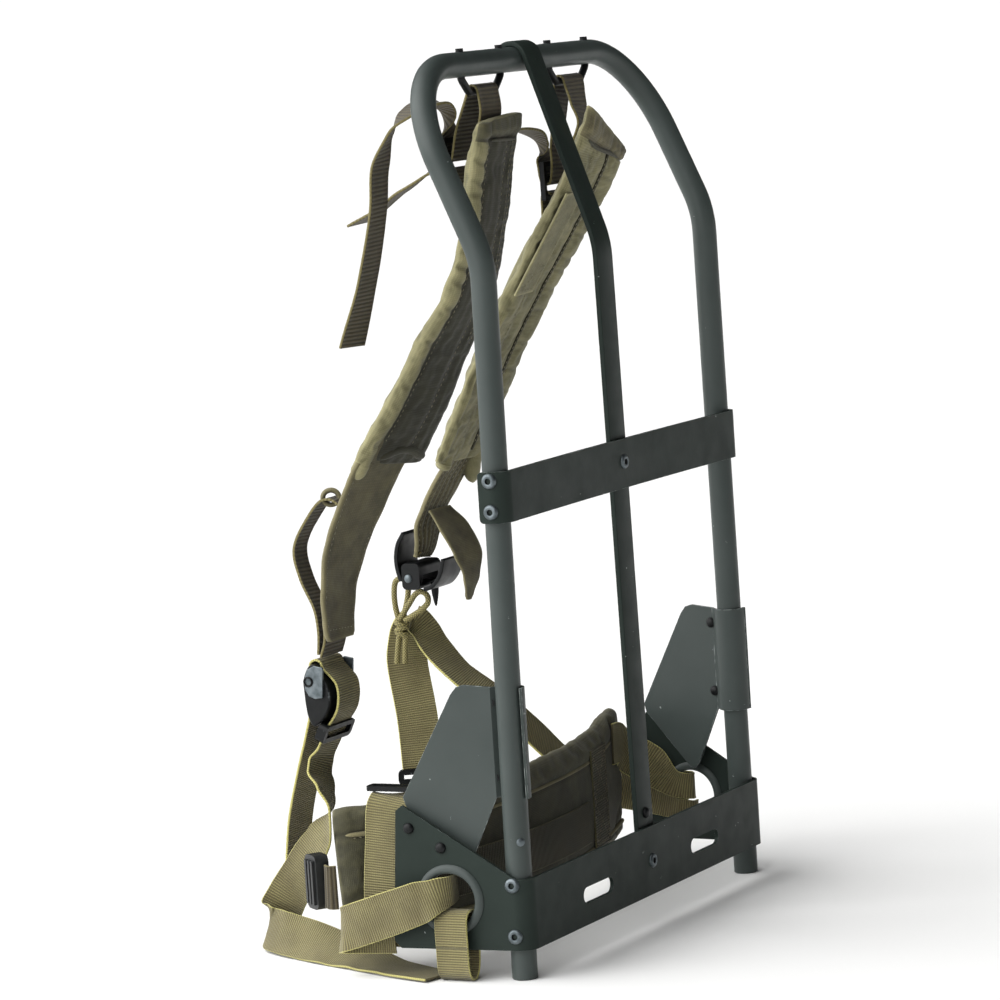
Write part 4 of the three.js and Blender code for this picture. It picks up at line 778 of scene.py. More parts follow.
def build_bar():
    """A flat strip from the plate up to a hook over the top tube."""
    front = -WRAP_R + 0.3 + BAR_THICK / 2
    hook_r = TUBE_R + 0.3 + BAR_THICK / 2
    reach = math.hypot(TOP_Y - BAR_KNEE_Y, TOP_Z - BAR_KNEE_Z)
    lean = math.atan2(TOP_Y - BAR_KNEE_Y, TOP_Z - BAR_KNEE_Z) - math.asin(hook_r / reach)
    knee = fillet([(0, front, BAR_LOW), (0, BAR_KNEE_Y, BAR_KNEE_Z),
                   (0, TOP_Y - hook_r * math.cos(lean), TOP_Z + hook_r * math.sin(lean))], [60], 0.03)
    hook = arc(TOP_Y, TOP_Z, hook_r, math.pi - lean, 0.5, 30)[1:]
    path = np.vstack([knee, np.column_stack([np.zeros(len(hook)), hook])])
    half_w, half_t, soft = BAR_WIDTH / 2, BAR_THICK / 2, 0.55
    section = rounded([(half_w, half_t), (-half_w, half_t), (-half_w, -half_t), (half_w, -half_t)], soft, 3)
    along = headings(path)
    across = np.broadcast_to([1.0, 0, 0], along.shape)
    out = np.cross(along, across)
    u, v = np.array(section).T
    sections = path[:, None] + across[:, None] * u[None, :, None] + out[:, None] * v[None, :, None]
    points, faces = loft(sections)
    make("flat_centre_bar", points, faces, [SHADED_SHEET_PAINT], ["centre_bar"], crisp=50)


# The finish of each row of faces on a tubular rivet, from its rim in to its eye, whose black is painted shade,
# and then of its two ends
EYE_ROWS = (0, 0, 0, 0, 1, 1, 0, 1)


def build_rivets(plate_x, flare):
    """Domed rivets, tubular ones with a hollow middle painted black as shade, and one small pin."""
    head = RIVET_HEAD
    dome = [(0, -1), (0.74 * head, -1), (0.74 * head, 0.4), (0.68 * head, 1.1), (0.52 * head, 1.7),
            (0.28 * head, 2.05), (0, RIVET_RISE)]
    eyed = [(0, -1), (head, -1), (head, 0.4), (0.86 * head, 1.2), (0.62 * head, 1.5), (0.42 * head, 1.2),
            (0.34 * head, 0.2), (0.3 * head, -0.8), (0, -0.8)]
    pin = [(0, -1), (2.3, -1), (2.3, 0.3), (1.6, 0.8), (0, 1)]
    band_x = leg_x((BAND_LOW + BAND_HIGH) / 2) + WRAP_R + SHEET
    sleeve_x = leg_x((GUSSET_LOW + GUSSET_HIGH) / 2) - 0.6
    rear = -WRAP_R - SHEET
    behind = (0, -1, 0)
    seats = []
    for side, sign in SIDES:
        out = (sign, -flare, 0)
        for level, z in BAND_RIVETS:
            seats.append((f"band_{side}_{level}", (sign * band_x, -1, z), (sign, 0, 0), eyed, True))
        for level, z in FOOT_RIVETS:
            seats.append((f"foot_{side}_{level}", (sign * (plate_x - 0.5 * flare), -0.5, z), out, eyed, True))
        for level, y, z in WING_RIVETS:
            seats.append((f"wing_{side}_{level}", (sign * (plate_x + flare * y), y, z), out, dome, True))
        for level, z in SLEEVE_RIVETS:
            spot = (sign * sleeve_x, SLEEVE_RIVET_Y, z)
            seats.append((f"sleeve_{side}_{level}", spot, (-sign, 0.2, 0), dome, False))
    seats.append(("band_middle", (0, rear + BAND_BOW, BAND_MIDDLE_Z), behind, eyed, False))
    seats.append(("plate_middle", (0, rear, PLATE_MIDDLE_Z), behind, eyed, False))
    seats.append(("bar_foot", (0, -WRAP_R + 0.3, BAR_FOOT_Z), behind, dome, False))
    leg_pin = (-leg_x(LEG_PIN_Z) - 5.1, -4.8, LEG_PIN_Z)
    seats.append(("leg_pin", leg_pin, (-0.73, -0.68, 0), pin, False))
    for name, spot, direction, profile, has_node in seats:
        points, faces = lathe(profile)
        # The walls and floor of a tubular rivet's eye take the black finish as painted shade.
        finish_of = np.repeat(EYE_ROWS, len(faces) // len(EYE_ROWS)) if profile is eyed else None
        make("headed_rivet_" + name, aimed(points, spot, direction), faces,
             [BLACK] if profile is dome else [STEEL, BLACK],
             ["rivet_" + name] if has_node else [], finish_of=finish_of, crisp=40)


def build_rings(plate_x, flare):
    """Rolled grommets in the holes of the wings."""
    soft = [(RING_BORE, -RING_HALF + 1.2), (RING_BORE + 0.4, -RING_HALF + 0.4), (RING_BORE + 1.6, -RING_HALF),
            (RING_RIM - 2, -RING_HALF + 0.2), (RING_RIM - 0.6, -RING_HALF + 0.9), (RING_RIM, -1.5),
            (RING_HOLE - 0.4, -1.45)]
    profile = np.array(soft + [(r, -h) for r, h in soft[::-1]])
    angle = np.linspace(0, 2 * math.pi, 64, endpoint=False)
    sections = np.stack([np.stack([profile[:, 0] * math.cos(a), profile[:, 0] * math.sin(a), profile[:, 1]], 1)
                         for a in angle])
    turned, faces = loft(sections, True)
    for side, sign in SIDES:
        spot = (sign * (plate_x + flare * RING_Y - SHEET / 2), RING_Y, RING_Z)
        points = aimed(turned, spot, (sign, -flare, 0))
        make("pressed_ring_" + side, points, faces, [PAINT], ["ring_" + side], crisp=60)


def build_strap_loops():
    """Black rods hung below the top tube, with their posts riveted over on top of it."""
    top, shoulder = TOP_Z + TUBE_R + 1.8, TOP_Z - TUBE_R - 1
    for side, low, high in STRAP_LOOPS:
        corners = [(low, top), (low, shoulder), (low + LOOP_SHOULDER, LOOP_BAR_Z),
                   (high - LOOP_SHOULDER, LOOP_BAR_Z), (high, shoulder), (high, top)]
        path = fillet([(x, TOP_Y, z) for x, z in corners], [3, 4, 4, 3], 0.2)
        points, faces = loft(round_sections(path, LOOP_ROD, 16))
        make("bent_strap_loop_" + side, points, faces, [BLACK], ["strap_loop_" + side],
             crisp=50)


def build_frame():
    """The metal frame, from its tube to its rivets."""
    build_tube()
    build_band()
    plate_x, flare = build_plate()
    for side, sign in SIDES:
        build_gusset(side, sign)
    build_bar()
    build_rings(plate_x, flare)
    build_rivets(plate_x, flare)
    build_strap_loops()


def cord_tube(path, radius, sides=14):
    """Points, faces, cloth places and length of a round cord along a path."""
    sections = round_sections(path, radius, sides)
    points, faces = loft(sections)
    run = run_along(path)
    around = np.linspace(0, 2 * math.pi * np.max(radius), sides, endpoint=False)
    return points, faces, cloth_places(around, run), run[-1]


# Padded pieces: how hard the filling presses, the cloth's slack, simulated steps and the furthest move in mm
FILL_PRESSURE, FILL_SLACK, FILL_STEPS, FILL_LIMIT = 4, 0.03, 20, 1.6
GROOVE_DEEP, GROOVE_WIDE = 1.3, 1.8
CREASE_LEAN, CREASE_FADE = 9, 0.04
UNLINED = (0, 0, 0, 0)


def fill_out(piece, held):
    """Swells a pad's cloth over its filling by simulation, with its seams held and each move kept small."""
    mesh = piece.data
    before = np.zeros(len(mesh.vertices) * 3)
    mesh.vertices.foreach_get("co", before)
    seams = piece.vertex_groups.new(name="seams")
    seams.add([int(k) for k in held], 1.0, "REPLACE")
    filling = piece.modifiers.new("filling", "CLOTH")
    filling.settings.quality = 5
    filling.settings.use_pressure = True
    filling.settings.uniform_pressure_force = FILL_PRESSURE
    filling.settings.effector_weights.gravity = 0
    filling.settings.vertex_group_mass = "seams"
    filling.settings.shrink_min = -FILL_SLACK
    filling.point_cache.frame_start = 1
    filling.point_cache.frame_end = FILL_STEPS
    for step in range(1, FILL_STEPS + 1):
        SCENE.frame_set(step)
    swollen = piece.evaluated_get(bpy.context.evaluated_depsgraph_get()).to_mesh()
    after = np.zeros_like(before)
    swollen.vertices.foreach_get("co", after)
    piece.modifiers.remove(filling)
    SCENE.frame_set(1)
    move = (after - before).reshape(-1, 3)
    size = np.linalg.norm(move, axis=1, keepdims=True)
    move *= FILL_LIMIT * MM / np.maximum(size, FILL_LIMIT * MM)
    mesh.vertices.foreach_set("co", (before.reshape(-1, 3) + move).ravel())
    mesh.update()


def hem_edge(low, high):
    """Where a hem meets the open cloth: at its end if it begins with the pad, or else at its start."""
    return low if low > 0 else high


def padded_form(name, table, front, back, finishes, lined, seams, hems, creases=(), step=1.9):
    """A stuffed form whose faces follow tables of (share across, height in mm), held along its seams.

    lined is where the second finish lies: from and to in shares across, and mm from the start and the end.
    hems are bands across it: where each starts and ends in mm and how far it stands proud, with a groove
    beside it. A third finish covers the first hem. creases are places in mm, from and to in shares across,
    depth and width.
    """
    station = lay(table, step)
    count = int(max(station.width) / step)
    share = np.linspace(0.5, -0.5, count + 1)
    share = 0.5 * np.sin(share * math.pi) * 0.4 + share * 0.6
    upper = np.interp(share, *np.array(front).T)
    lower = np.interp(share[1:-1][::-1], *np.array(back).T)
    u = np.concatenate([share, share[1:-1][::-1]])
    v = np.concatenate([upper, lower]) / max(station.thick)
    sections = strip_points(station, np.stack([u, v], 1))
    proud = np.zeros((len(station.run), len(u)))
    for low, high, rise in hems:
        band = np.clip((station.run - low) / 2 + 0.5, 0, 1) * np.clip((high - station.run) / 2 + 0.5, 0, 1)
        groove = np.exp(-((station.run - hem_edge(low, high)) / GROOVE_WIDE) ** 2)
        proud += np.where(v > 0, 1, 0)[None] * (band * rise - groove * GROOVE_DEEP)[:, None]
    for run, low, high, depth, width in creases:
        pull = depth * np.exp(-((station.run[:, None] - run - CREASE_LEAN * (u[None] - low)) / width) ** 2)
        reach = np.clip((u - low) / CREASE_FADE, 0, 1) * np.clip((high - u) / CREASE_FADE, 0, 1) * (v > 0)
        proud -= pull * reach[None]
    sections += station.out[:, None] * proud[:, :, None]
    points, faces = loft(sections)
    places = cloth_places(u * max(station.width), station.run)
    sides, rows = len(u), len(station.run)
    low, high, first, last = lined
    run = station.run[:-1, None]
    middle = (u + np.roll(u, -1)) / 2
    outer = np.arange(sides) < count
    lining = outer & (low < middle) & (middle < high) & (first < run) & (run < station.run[-1] - last)
    hem_end = hems[0][1] if len(finishes) > 2 else 0
    finish_of = [*np.where(outer & (run < hem_end), 2, lining).ravel(), 0, 0]
    piece = make("stuffed_" + name, points, faces, finishes, [name], places, finish_of)
    columns = {0, count} | {int(np.argmin(np.abs(share - s))) for s in seams}
    edges = [hem_edge(low, high) for low, high, _ in hems]
    across = {0, rows - 1} | {int(np.argmin(np.abs(station.run - edge))) for edge in edges}
    fill_out(piece, [row * sides + k for row in range(rows) for k in range(sides)
                     if k in columns or row in across])
    skin = piece.modifiers.new("smooth_cloth", "SUBSURF")
    skin.levels = skin.render_levels = 1
    return station


ROLL_STEPS = 30
ROLL_SHARE = np.linspace(0, 1, ROLL_STEPS)


def blunt(count, power):
    """Shares of a roll's radius that draw it in at both ends."""
    share = np.linspace(-1, 1, count)
    return np.sqrt(np.clip(1 - share ** power, 0.05, 1))


def cloth_roll(name, path, radii, finish, sides=18):
    """A rolled hem, a piping or a stuffed finger of cloth along a path of points."""
    points, faces, places, _ = cord_tube(np.array(path), np.array(radii, float), sides)
    make("rolled_" + name, points, faces, [finish], (), places, crisp=70)


def finger(name, station, across, start, reach, radius, drop):
    """A border's stuffed end, which starts at a distance along its pad and stands out past the pad's end."""
    run = np.linspace(start, station.run[-1], 26)
    path, _ = on_strap(station, run, np.full(len(run), across), 1, 0.02)
    past = np.linspace(0.05, 1, 16)
    tail = path[-1] + np.outer(past * reach, station.along[-1]) + np.outer(past ** 2, drop)
    path = np.vstack([path, tail])
    swell = np.linspace(0, 1, len(path))
    tip = np.sqrt(np.clip(1 - np.maximum(0, (swell - 0.8) / 0.2) ** 2, 0.02, 1))
    cloth_roll(name, path, radius * tip * np.clip(0.35 + swell, 0, 1), CLOTH)


PAD_LEFT = [
    Row(-47, 33.6, 470, turn=4, slant=-0.16, thick=6),
    Row(-48, 35.4, 461, turn=4, slant=-0.12, thick=10),
    Row(-50, 39, 445, turn=4, thick=PAD_THICK),
    Row(-54, 43.4, 412, turn=4, thick=PAD_THICK),
    Row(-57, 55, 373.5, thick=PAD_THICK),
    Row(-60, 74, 340, turn=-7, thick=PAD_THICK),
    Row(-63.5, 92, 307, turn=-12, thick=PAD_THICK),
    Row(-66, 105, 285.5, turn=-15, thick=9),
    Row(-66, 110, 277, turn=-15, thick=6),
]
PAD_RIGHT = [
    Row(54, 16.6, 458, lift=-8, slant=0.42, thick=6, width=65),
    Row(53.5, 21, 449, lift=-7, slant=0.36, thick=10),
    Row(54, 28.8, 433.8, lift=-6, slant=0.12, thick=PAD_THICK),
    Row(57, 52.4, 398.4, lift=-4, thick=PAD_THICK),
    Row(60, 77, 364, thick=PAD_THICK),
    Row(63, 100.6, 328.6, thick=PAD_THICK),
    Row(67, 121.7, 292, thick=PAD_THICK),
    Row(69, 132.5, 272, thick=9),
    Row(69, 137, 263, thick=6),
]
LEFT_FACE = [(-0.5, 0), (-0.485, 2.6), (-0.44, 4.8), (-0.385, 5.5), (-0.33, 4.7), (-0.285, 2.4), (-0.27, 1.6),
             (-0.24, 2.6), (-0.1, 3.9), (0.1, 4.1), (0.16, 3.5), (0.17, 3.0), (0.18, 3.5), (0.3, 3.8),
             (0.42, 3.2), (0.48, 2.0), (0.5, 0)]
RIGHT_FACE = [(-0.5, 0), (-0.485, 2.4), (-0.44, 4.3), (-0.33, 4.9), (-0.22, 4.0), (-0.2, 3.4), (-0.18, 3.9),
              (0, 4.6), (0.1, 4.0), (0.125, 2.2), (0.15, 3.9), (0.25, 5.2), (0.38, 5.3), (0.46, 3.8),
              (0.49, 1.8), (0.5, 0)]
BACK_FACE = [(-0.5, 0), (-0.48, -2.6), (-0.4, -4.6), (-0.2, -5.4), (0, -5.6), (0.2, -5.4), (0.4, -4.6),
             (0.48, -2.6), (0.5, 0)]
BORDER_CREASES = [(run, -0.52, -0.27, depth, width) for run, depth, width in (
    (26, 1.3, 2.2), (38, 1.6, 1.5), (45, 1.0, 1.8), (60, 1.5, 1.7), (69, 2.0, 1.4), (76, 1.6, 1.6),
    (84, 2.2, 1.5), (93, 1.4, 1.8), (108, 0.9, 2.2), (131, 0.7, 2.5), (160, 0.6, 2.5))]
RIGHT_CREASES = [(run, 0.13, 0.52, depth, width) for run, depth, width in (
    (30, 0.6, 2.0), (52, 0.5, 1.8), (71, 0.9, 1.6), (88, 0.7, 2.0), (97, 1.1, 1.5), (110, 0.8, 1.8),
    (126, 0.6, 2.0), (149, 0.9, 1.6), (168, 1.0, 1.8), (183, 0.8, 1.6))]


def height_at(face, across):
    """The height of a pad's face at a share across it, as a share of the pad's thickness."""
    return np.interp(across, *np.array(face).T) / PAD_THICK + 0.06


def pad_rows(table):
    """Rows of a shoulder pad at the pads' width, or at their own where that is more."""
    return [row._replace(width=max(row.width, PAD_WIDTH)) for row in table]


def pad_seams(pad, face, runs, shares):
    """Seams along a shoulder pad at shares across it."""
    return [seam(pad, runs, (u, u), 1, height_at(face, u)) for u in shares]


def build_left_pad():
    """The left pad: a puckered border beside a dark lining, with a folded top and a rolled lower hem."""
    pad = padded_form(
        "shoulder_pad_left", pad_rows(PAD_LEFT), LEFT_FACE, BACK_FACE, [CLOTH, LINING, DARK_CLOTH],
        lined=(-0.27, 0.5, 12, -5), seams=(-0.27, -0.245, -0.12, 0.02, 0.17, 0.3, 0.42),
        hems=[(0, 11, 0.9)], creases=BORDER_CREASES)
    end = pad.run[-1]
    stitches("pad_left", pad_seams(pad, LEFT_FACE, (0.07, 0.93), (-0.245, 0.17))
             + pad_seams(pad, LEFT_FACE, (0.06, 0.62), (0.27, 0.33)))
    hem, _ = on_strap(pad, end - 4 - 7 * np.sin(ROLL_SHARE * math.pi), -0.2 + 0.68 * ROLL_SHARE, 1, 0.1)
    cloth_roll("pad_hem_left", hem, 3.6 * blunt(ROLL_STEPS, 8), LINING)
    # A thin roll of the dark lining cloth along the top fold, painted shade in the fold.
    fold, _ = on_strap(pad, 12 + ROLL_SHARE, -0.25 + 0.62 * ROLL_SHARE, 1, 0.34)
    cloth_roll("pad_fold_left", fold, 1.1 * blunt(ROLL_STEPS, 4), LINING, 10)
    finger("pad_border_left", pad, -0.385, end - 22, reach=8, radius=4.6, drop=(-1.5, 1.0, -2.0))


def build_right_pad():
    """The right pad: two stuffed lengths beside a seam marked with painted shade, with a sewn panel on one of
    them.
    """
    rows = pad_rows(PAD_RIGHT)
    pad = padded_form(
        "shoulder_pad_right", rows, RIGHT_FACE, BACK_FACE, [CLOTH, LINING, TAB_CLOTH], UNLINED,
        seams=(-0.2, -0.05, 0.1, 0.125, 0.15), hems=[(0, 13, 1.1)], creases=RIGHT_CREASES)
    end = pad.run[-1]
    stitches("pad_right", pad_seams(pad, RIGHT_FACE, (0.07, 0.95), (-0.2, 0.1, 0.155)))
    # Thin rolls of the dark lining cloth along the middle seam and the top fold, painted shade in the groove
    # and the fold.
    middle, _ = seam(pad, (0.06, 0.97), (0.125, 0.125), 1, 0.34)
    cloth_roll("pad_seam_right", middle, np.full(len(middle), 1.0), LINING, 10)
    fold, _ = on_strap(pad, 13.5 + np.sin(5 * ROLL_SHARE), -0.4 + 0.78 * ROLL_SHARE, 1, 0.38)
    cloth_roll("pad_fold_right", fold, 1.2 * blunt(ROLL_STEPS, 4), LINING, 10)
    finger("pad_border_right", pad, 0.34, end - 24, reach=12, radius=5.6, drop=(2.0, -3.0, -6.0))
    finger("pad_lobe_right", pad, -0.3, end - 22, reach=4, radius=4.8, drop=(0.0, 0.5, -1.0))
    spots, _ = on_strap(lay(rows, 4), np.linspace(0.17, 0.47, 5) * end, np.linspace(-0.3, -0.33, 5), 1, 0.47)
    panel = strap("pad_panel_right", [Row(*spot, width=21) for spot in spots], CLOTH, HEMMED,
                  stands_for=())
    stitches("pad_panel_right", crossed_box(panel, 0.72, 0.96, -0.4, 0.4)
             + [seam(panel, (0.02, 0.7), (u, u)) for u in (-0.4, 0.4)])


KIDNEY = [
    Row(146, 84, 62, width=74, thick=6),
    Row(137, 81.2, 62, width=79),
    Row(119, 76.8, 61, width=79),
    Row(92, 70, 59.5, width=77),
    Row(50, 62.4, 58.5, width=76),
    Row(0, 58, 58, width=76),
    Row(-50, 59.5, 57, width=76),
    Row(-98, 67.5, 56, width=76),
    Row(-133, 85.5, 55.5, width=78),
    Row(-148, 104.5, 55, width=78),
    Row(-152, 111.5, 54.6, width=76, thick=7),
]
KIDNEY_FACE = [(-0.5, 0), (-0.49, 2.4), (-0.46, 4.2), (-0.42, 4.6), (-0.395, 3.4), (-0.38, 3.0), (-0.35, 3.9),
               (-0.1, 4.9), (0.1, 4.9), (0.26, 4.2), (0.285, 3.0), (0.305, 3.3), (0.34, 4.8), (0.42, 4.9),
               (0.46, 4.3), (0.49, 2.4), (0.5, 0)]


KIDNEY_STEP = 2.4
SEWN = 0.3 + WEB / 2 + 0.6


def kidney_face(share, height, off):
    """A place on the frame side of the kidney pad at a share of its length."""
    knots = np.array([row[:3] for row in KIDNEY])
    points, marks = sample_route(knots, 0.5)
    spot = share * (len(knots) - 1)
    along = read_at(spot, marks, headings(points)[:, :2])
    out = unit(np.array([along[1], -along[0]]))
    out = out * -np.sign(out[1]) * (KIDNEY_THICK / 2 + off)
    return (*(read_at(spot, marks, points[:, :2]) + out), height)


def build_kidney_pad():
    """The kidney pad with its piping and bound ends, and the tape and patch that are sewn to it."""
    table = [row._replace(lift=90, thick=row.thick if row.thick > WEB else KIDNEY_THICK) for row in KIDNEY]
    length = lay(table, KIDNEY_STEP).run[-1]
    pad = padded_form(
        "kidney_pad", table, KIDNEY_FACE, [(u, -v) for u, v in KIDNEY_FACE], [DARK_CLOTH, LINING], UNLINED,
        seams=(-0.39, -0.37, 0.285, 0.305), hems=[(0, 9, 0.6), (length - 12, length + 12, 0.8)],
        step=KIDNEY_STEP)
    stitches("kidney_pad", [seam(pad, (0.03, 0.97), (u, u), face) for u in (-0.36, 0.27) for face in (1, -1)])
    for edge, u in (("upper", 0.295), ("lower", -0.39)):
        for side, face in (("frame", 1), ("wearer", -1)):
            path, _ = seam(pad, (0.02, 0.98), (u, u), face, 0.43)
            cloth_roll(f"kidney_piping_{edge}_{side}", path, 1.5 * blunt(len(path), 60), TAB_CLOTH, 10)
    for side, run, finish in (("right", 5, LINING), ("left", pad.run[-1] - 7, DARK_CLOTH)):
        path, _ = on_strap(pad, np.full(ROLL_STEPS, run), -0.44 + 0.9 * ROLL_SHARE, 1, 0.4)
        cloth_roll("kidney_binding_" + side, path, 4.6 * blunt(ROLL_STEPS, 8), finish)
    belt_shares = (0.78, 0.72, 0.63, 0.54, 0.46, 0.395)
    strap("pad_belt", [Row(*kidney_face(share, 47, SEWN), lift=90) for share in belt_shares], OLIVE_TAPE)
    x, y, _ = kidney_face(0.34, 0, SEWN - 0.2)
    patch = strap("pad_patch", [Row(x, y, z, turn=10, width=30) for z in (88, 58, 28)], OLIVE_TAPE)
    stitches("pad_patch", crossed_box(patch, 0.06, 0.5, -0.42, 0.42)
             + crossed_box(patch, 0.53, 0.95, -0.42, 0.42))


# Webbing, each a table of places from its free end or its first seam
SLIDER_LEFT = (-46.5, 62.5, 450)
SLIDER_RIGHT = (56, 53.4, 429.5)
TURN_R = 3.5
LOOP_R = LOOP_ROD + 0.3 + WEB / 2 + 0.2
RUNG_DROP = 11
QUICK_LEFT = (-83, 151, 146)
QUICK_LEAN = 0.08
KEEPER = (-83, 147, 125.4)
HANGER_LEFT = [
    Row(-46.5, 45.2, 450), Row(-46.5, 42, 463), Row(-46.5, 39.4, 474),
    *round_rung(-46.5, TOP_Y, LOOP_BAR_Z, LOOP_R, 190, -15),
    Row(-46.5, 51.5, 474), Row(-46.5, 56, 463),
    *round_rung(*SLIDER_LEFT, TURN_R, 175, 365),
    Row(-47, 67.2, 461, turn=4), Row(-51, 67, 471, turn=25), Row(-60, 66, 478, turn=60),
    Row(-71, 66.5, 480, turn=75), Row(-82, 72.5, 476, turn=50), Row(-89, 81, 465, turn=22),
    Row(-90, 88.6, 446.5, turn=6), Row(-90, 91.7, 422.6, turn=7), Row(-90, 101.5, 383.5, turn=4),
    Row(-90, 114.5, 346, turn=-5),
]
HANGER_RIGHT = [
    Row(55, 36, 435.4, lift=-7), Row(58, 37.4, 447, turn=10, lift=-4), Row(61, 36.6, 460, turn=18),
    Row(62, 38.4, 473, turn=6),
    *round_rung(62, TOP_Y, LOOP_BAR_Z, LOOP_R, 190, -15),
    Row(61, 49.4, 472, turn=8), Row(58, 51, 452, turn=10), Row(56.4, 49, 440.5),
    *round_rung(*SLIDER_RIGHT, TURN_R, 175, 365),
    Row(55.6, 58.8, 440.5, turn=2), Row(53, 61, 448.5, turn=20), Row(45, 61.5, 454.5, turn=52),
    Row(33, 61, 458.5, turn=76), Row(17, 63.5, 460, turn=70), Row(1, 72, 456, turn=52),
    Row(-12, 87, 445.5, turn=36, lift=4), Row(-19, 101, 436, turn=28, lift=-3),
    Row(-20, 115, 428, turn=26, lift=-7), Row(-20, 130, 418.5, turn=26, lift=-8),
    Row(-20, 145, 411, turn=22, lift=-8),
]
ANCHOR_LEFT = [
    Row(-50.5, 53, 402), Row(-49, 50, 418), Row(-47, 53.5, 430),
    *round_rung(-46.5, SLIDER_LEFT[1], SLIDER_LEFT[2] - RUNG_DROP, 3.4, 190, -20),
]
ANCHOR_RIGHT = [
    Row(57.5, 64, 396), Row(57, 58, 405.5), Row(56.3, 57, 412),
    *round_rung(56, SLIDER_RIGHT[1], SLIDER_RIGHT[2] - RUNG_DROP, 3.4, -8, 150, 3),
]
TAB_LEFT = [
    Row(-69, 102.5, 290, turn=-15, width=40), Row(-73, 112.4, 275.6, turn=-15, width=42),
    Row(-75, 123, 256, turn=-12, width=42), Row(-80, 134, 228, turn=-6, width=42),
    Row(-83, 138.8, 203, width=38), Row(-83.6, 139.4, 188, width=34, slant=0.1),
    Row(-83, 139.4, 181, width=31, slant=0.2), Row(-82.4, 139.4, 178, width=26, slant=0.22),
]
TAB_RIGHT = [
    Row(69.6, 129, 276, width=36), Row(71, 137.6, 262.1, width=36), Row(71, 149, 246, width=35, turn=-1),
    Row(73.5, 161, 226, width=33, turn=0), Row(74.5, 166, 209, width=28, turn=2),
    Row(74, 168.2, 203.6, width=24, turn=2),
]
FLAP_RIGHT = [
    Row(72, 153.4, 233, width=28, turn=2), Row(72, 144, 221, width=32, turn=-5),
    Row(72, 136.2, 206, width=29, turn=-6), Row(72, 134.6, 192, width=18, turn=-4),
    Row(72, 136.6, 181, width=9), Row(72, 137.4, 177.5, width=4),
]
PULL_LOOP = [
    Row(-77, 129.4, 250, turn=-10), Row(-77.5, 136, 257.5, turn=-6), Row(-78, 144, 258),
    Row(-79, 154.5, 247), Row(-80, 163.5, 230), Row(-81, 160, 213), Row(-82, 151.5, 195),
    Row(-83, 149.4, 181), Row(-83, 150.4, 169.6),
]
PULL_LOOP_WIDTH = 15
PULL_EYE, PULL_EYE_ACROSS, PULL_EYE_WIDE, PULL_EYE_HIGH = (-79.5, 141, 259), (0.466, -0.885, 0), 4.6, 4.2
QUICK_STRAP_LEFT = [Row(-83.3, 142.3, 190), Row(-83, 142.8, 178), Row(-83, 146, 169)]
QUICK_STRAP_RIGHT = [
    Row(74.6, 166.8, 206.1, turn=12, width=22), Row(74.3, 167.4, 204.9, turn=6, width=22),
    Row(74, 168.4, 203.2, width=22),
]
RUNG_LEFT = (QUICK_LEFT[1] - math.sin(QUICK_LEAN) * 17, QUICK_LEFT[2] + math.cos(QUICK_LEAN) * 17)
LOWER_LEFT = [
    Row(-76, 182, 46, turn=-4), Row(-77.5, 177, 73, turn=-4), Row(-80, 167.5, 101.5, turn=-4),
    Row(-82.5, 158.8, 125, turn=-2), Row(-83, 155.2, 138), Row(-83, 154.2, 150),
    *round_rung(-83, *RUNG_LEFT, 4.3, -10, 185),
    Row(-83, 137, 153), Row(-83, 137.6, 139), Row(*KEEPER), Row(-83, 151.6, 116.4),
    Row(-84.4, 156.4, 108, turn=-6), Row(-87, 156.6, 100.5), Row(-91, 151.5, 91, turn=14),
    Row(-95, 147.5, 79, turn=28, lift=4), Row(-98, 154, 64, turn=58, lift=20),
    Row(-97, 165, 48, turn=76, lift=42), Row(-97, 177, 31, turn=84, lift=66),
    Row(-101, 183.6, 18.4, turn=92, lift=92),
    Row(-110, 184, 14, turn=125, lift=108), Row(-117, 173.5, 13, turn=155, lift=112),
    Row(-123, 155, 11, turn=163, lift=124), Row(-131, 128, 7.6, turn=166, lift=146),
    Row(-138, 105, 4, turn=170, lift=166), Row(-147, 82, 2, turn=174, lift=177),
    Row(-155, 60, 1.6, turn=178, lift=180), Row(-158.6, 47, 1.6, turn=178, lift=180),
]
RING_LOOP = [(165.2, 20), (165.3, 30), (164.4, 36.4), (161.6, 38.9), (158.5, 39.1), (155.4, 38.9), (152, 36.6),
             (151, 30), (151.4, 15), (153.4, 5), (157, 1.1), (161, 1.1), (164.6, 6)]
WAIST_LEFT = [
    Row(-139, 43.5, 51, lift=90, width=20), Row(-150, 38.8, 50.6, lift=90, width=17),
    Row(-158.5, 37, 50.2, lift=90, width=16.4), Row(-165.8, 41.5, 48.8, lift=88, width=19),
    Row(-168.4, 54, 44, turn=-90, lift=76, width=24), Row(-168.8, 74, 37, turn=-90, lift=72),
    Row(-168.6, 92, 31, turn=-90, lift=72), Row(-166.5, 102, 27.5, turn=-90, lift=78),
    Row(-162, 105.5, 25.5, turn=-90, lift=88), Row(-158, 102, 24.6, turn=90, lift=84),
    Row(-156, 92, 24.4, turn=90, lift=82), Row(-155.6, 76, 25, turn=90, lift=82),
]
PAD_STRAP_LEFT = [
    Row(*kidney_face(0.788, 70, SEWN), turn=150), Row(*kidney_face(0.788, 88, SEWN + 0.4), turn=146),
    Row(-137, 77.6, 98, turn=128), Row(-144, 77, 100, turn=108), Row(-149.6, 78, 96, turn=95),
    Row(-151.6, 80.5, 72, turn=90), Row(-152.8, 82.5, 46, turn=90), Row(-153.3, 83, 16, turn=90),
]
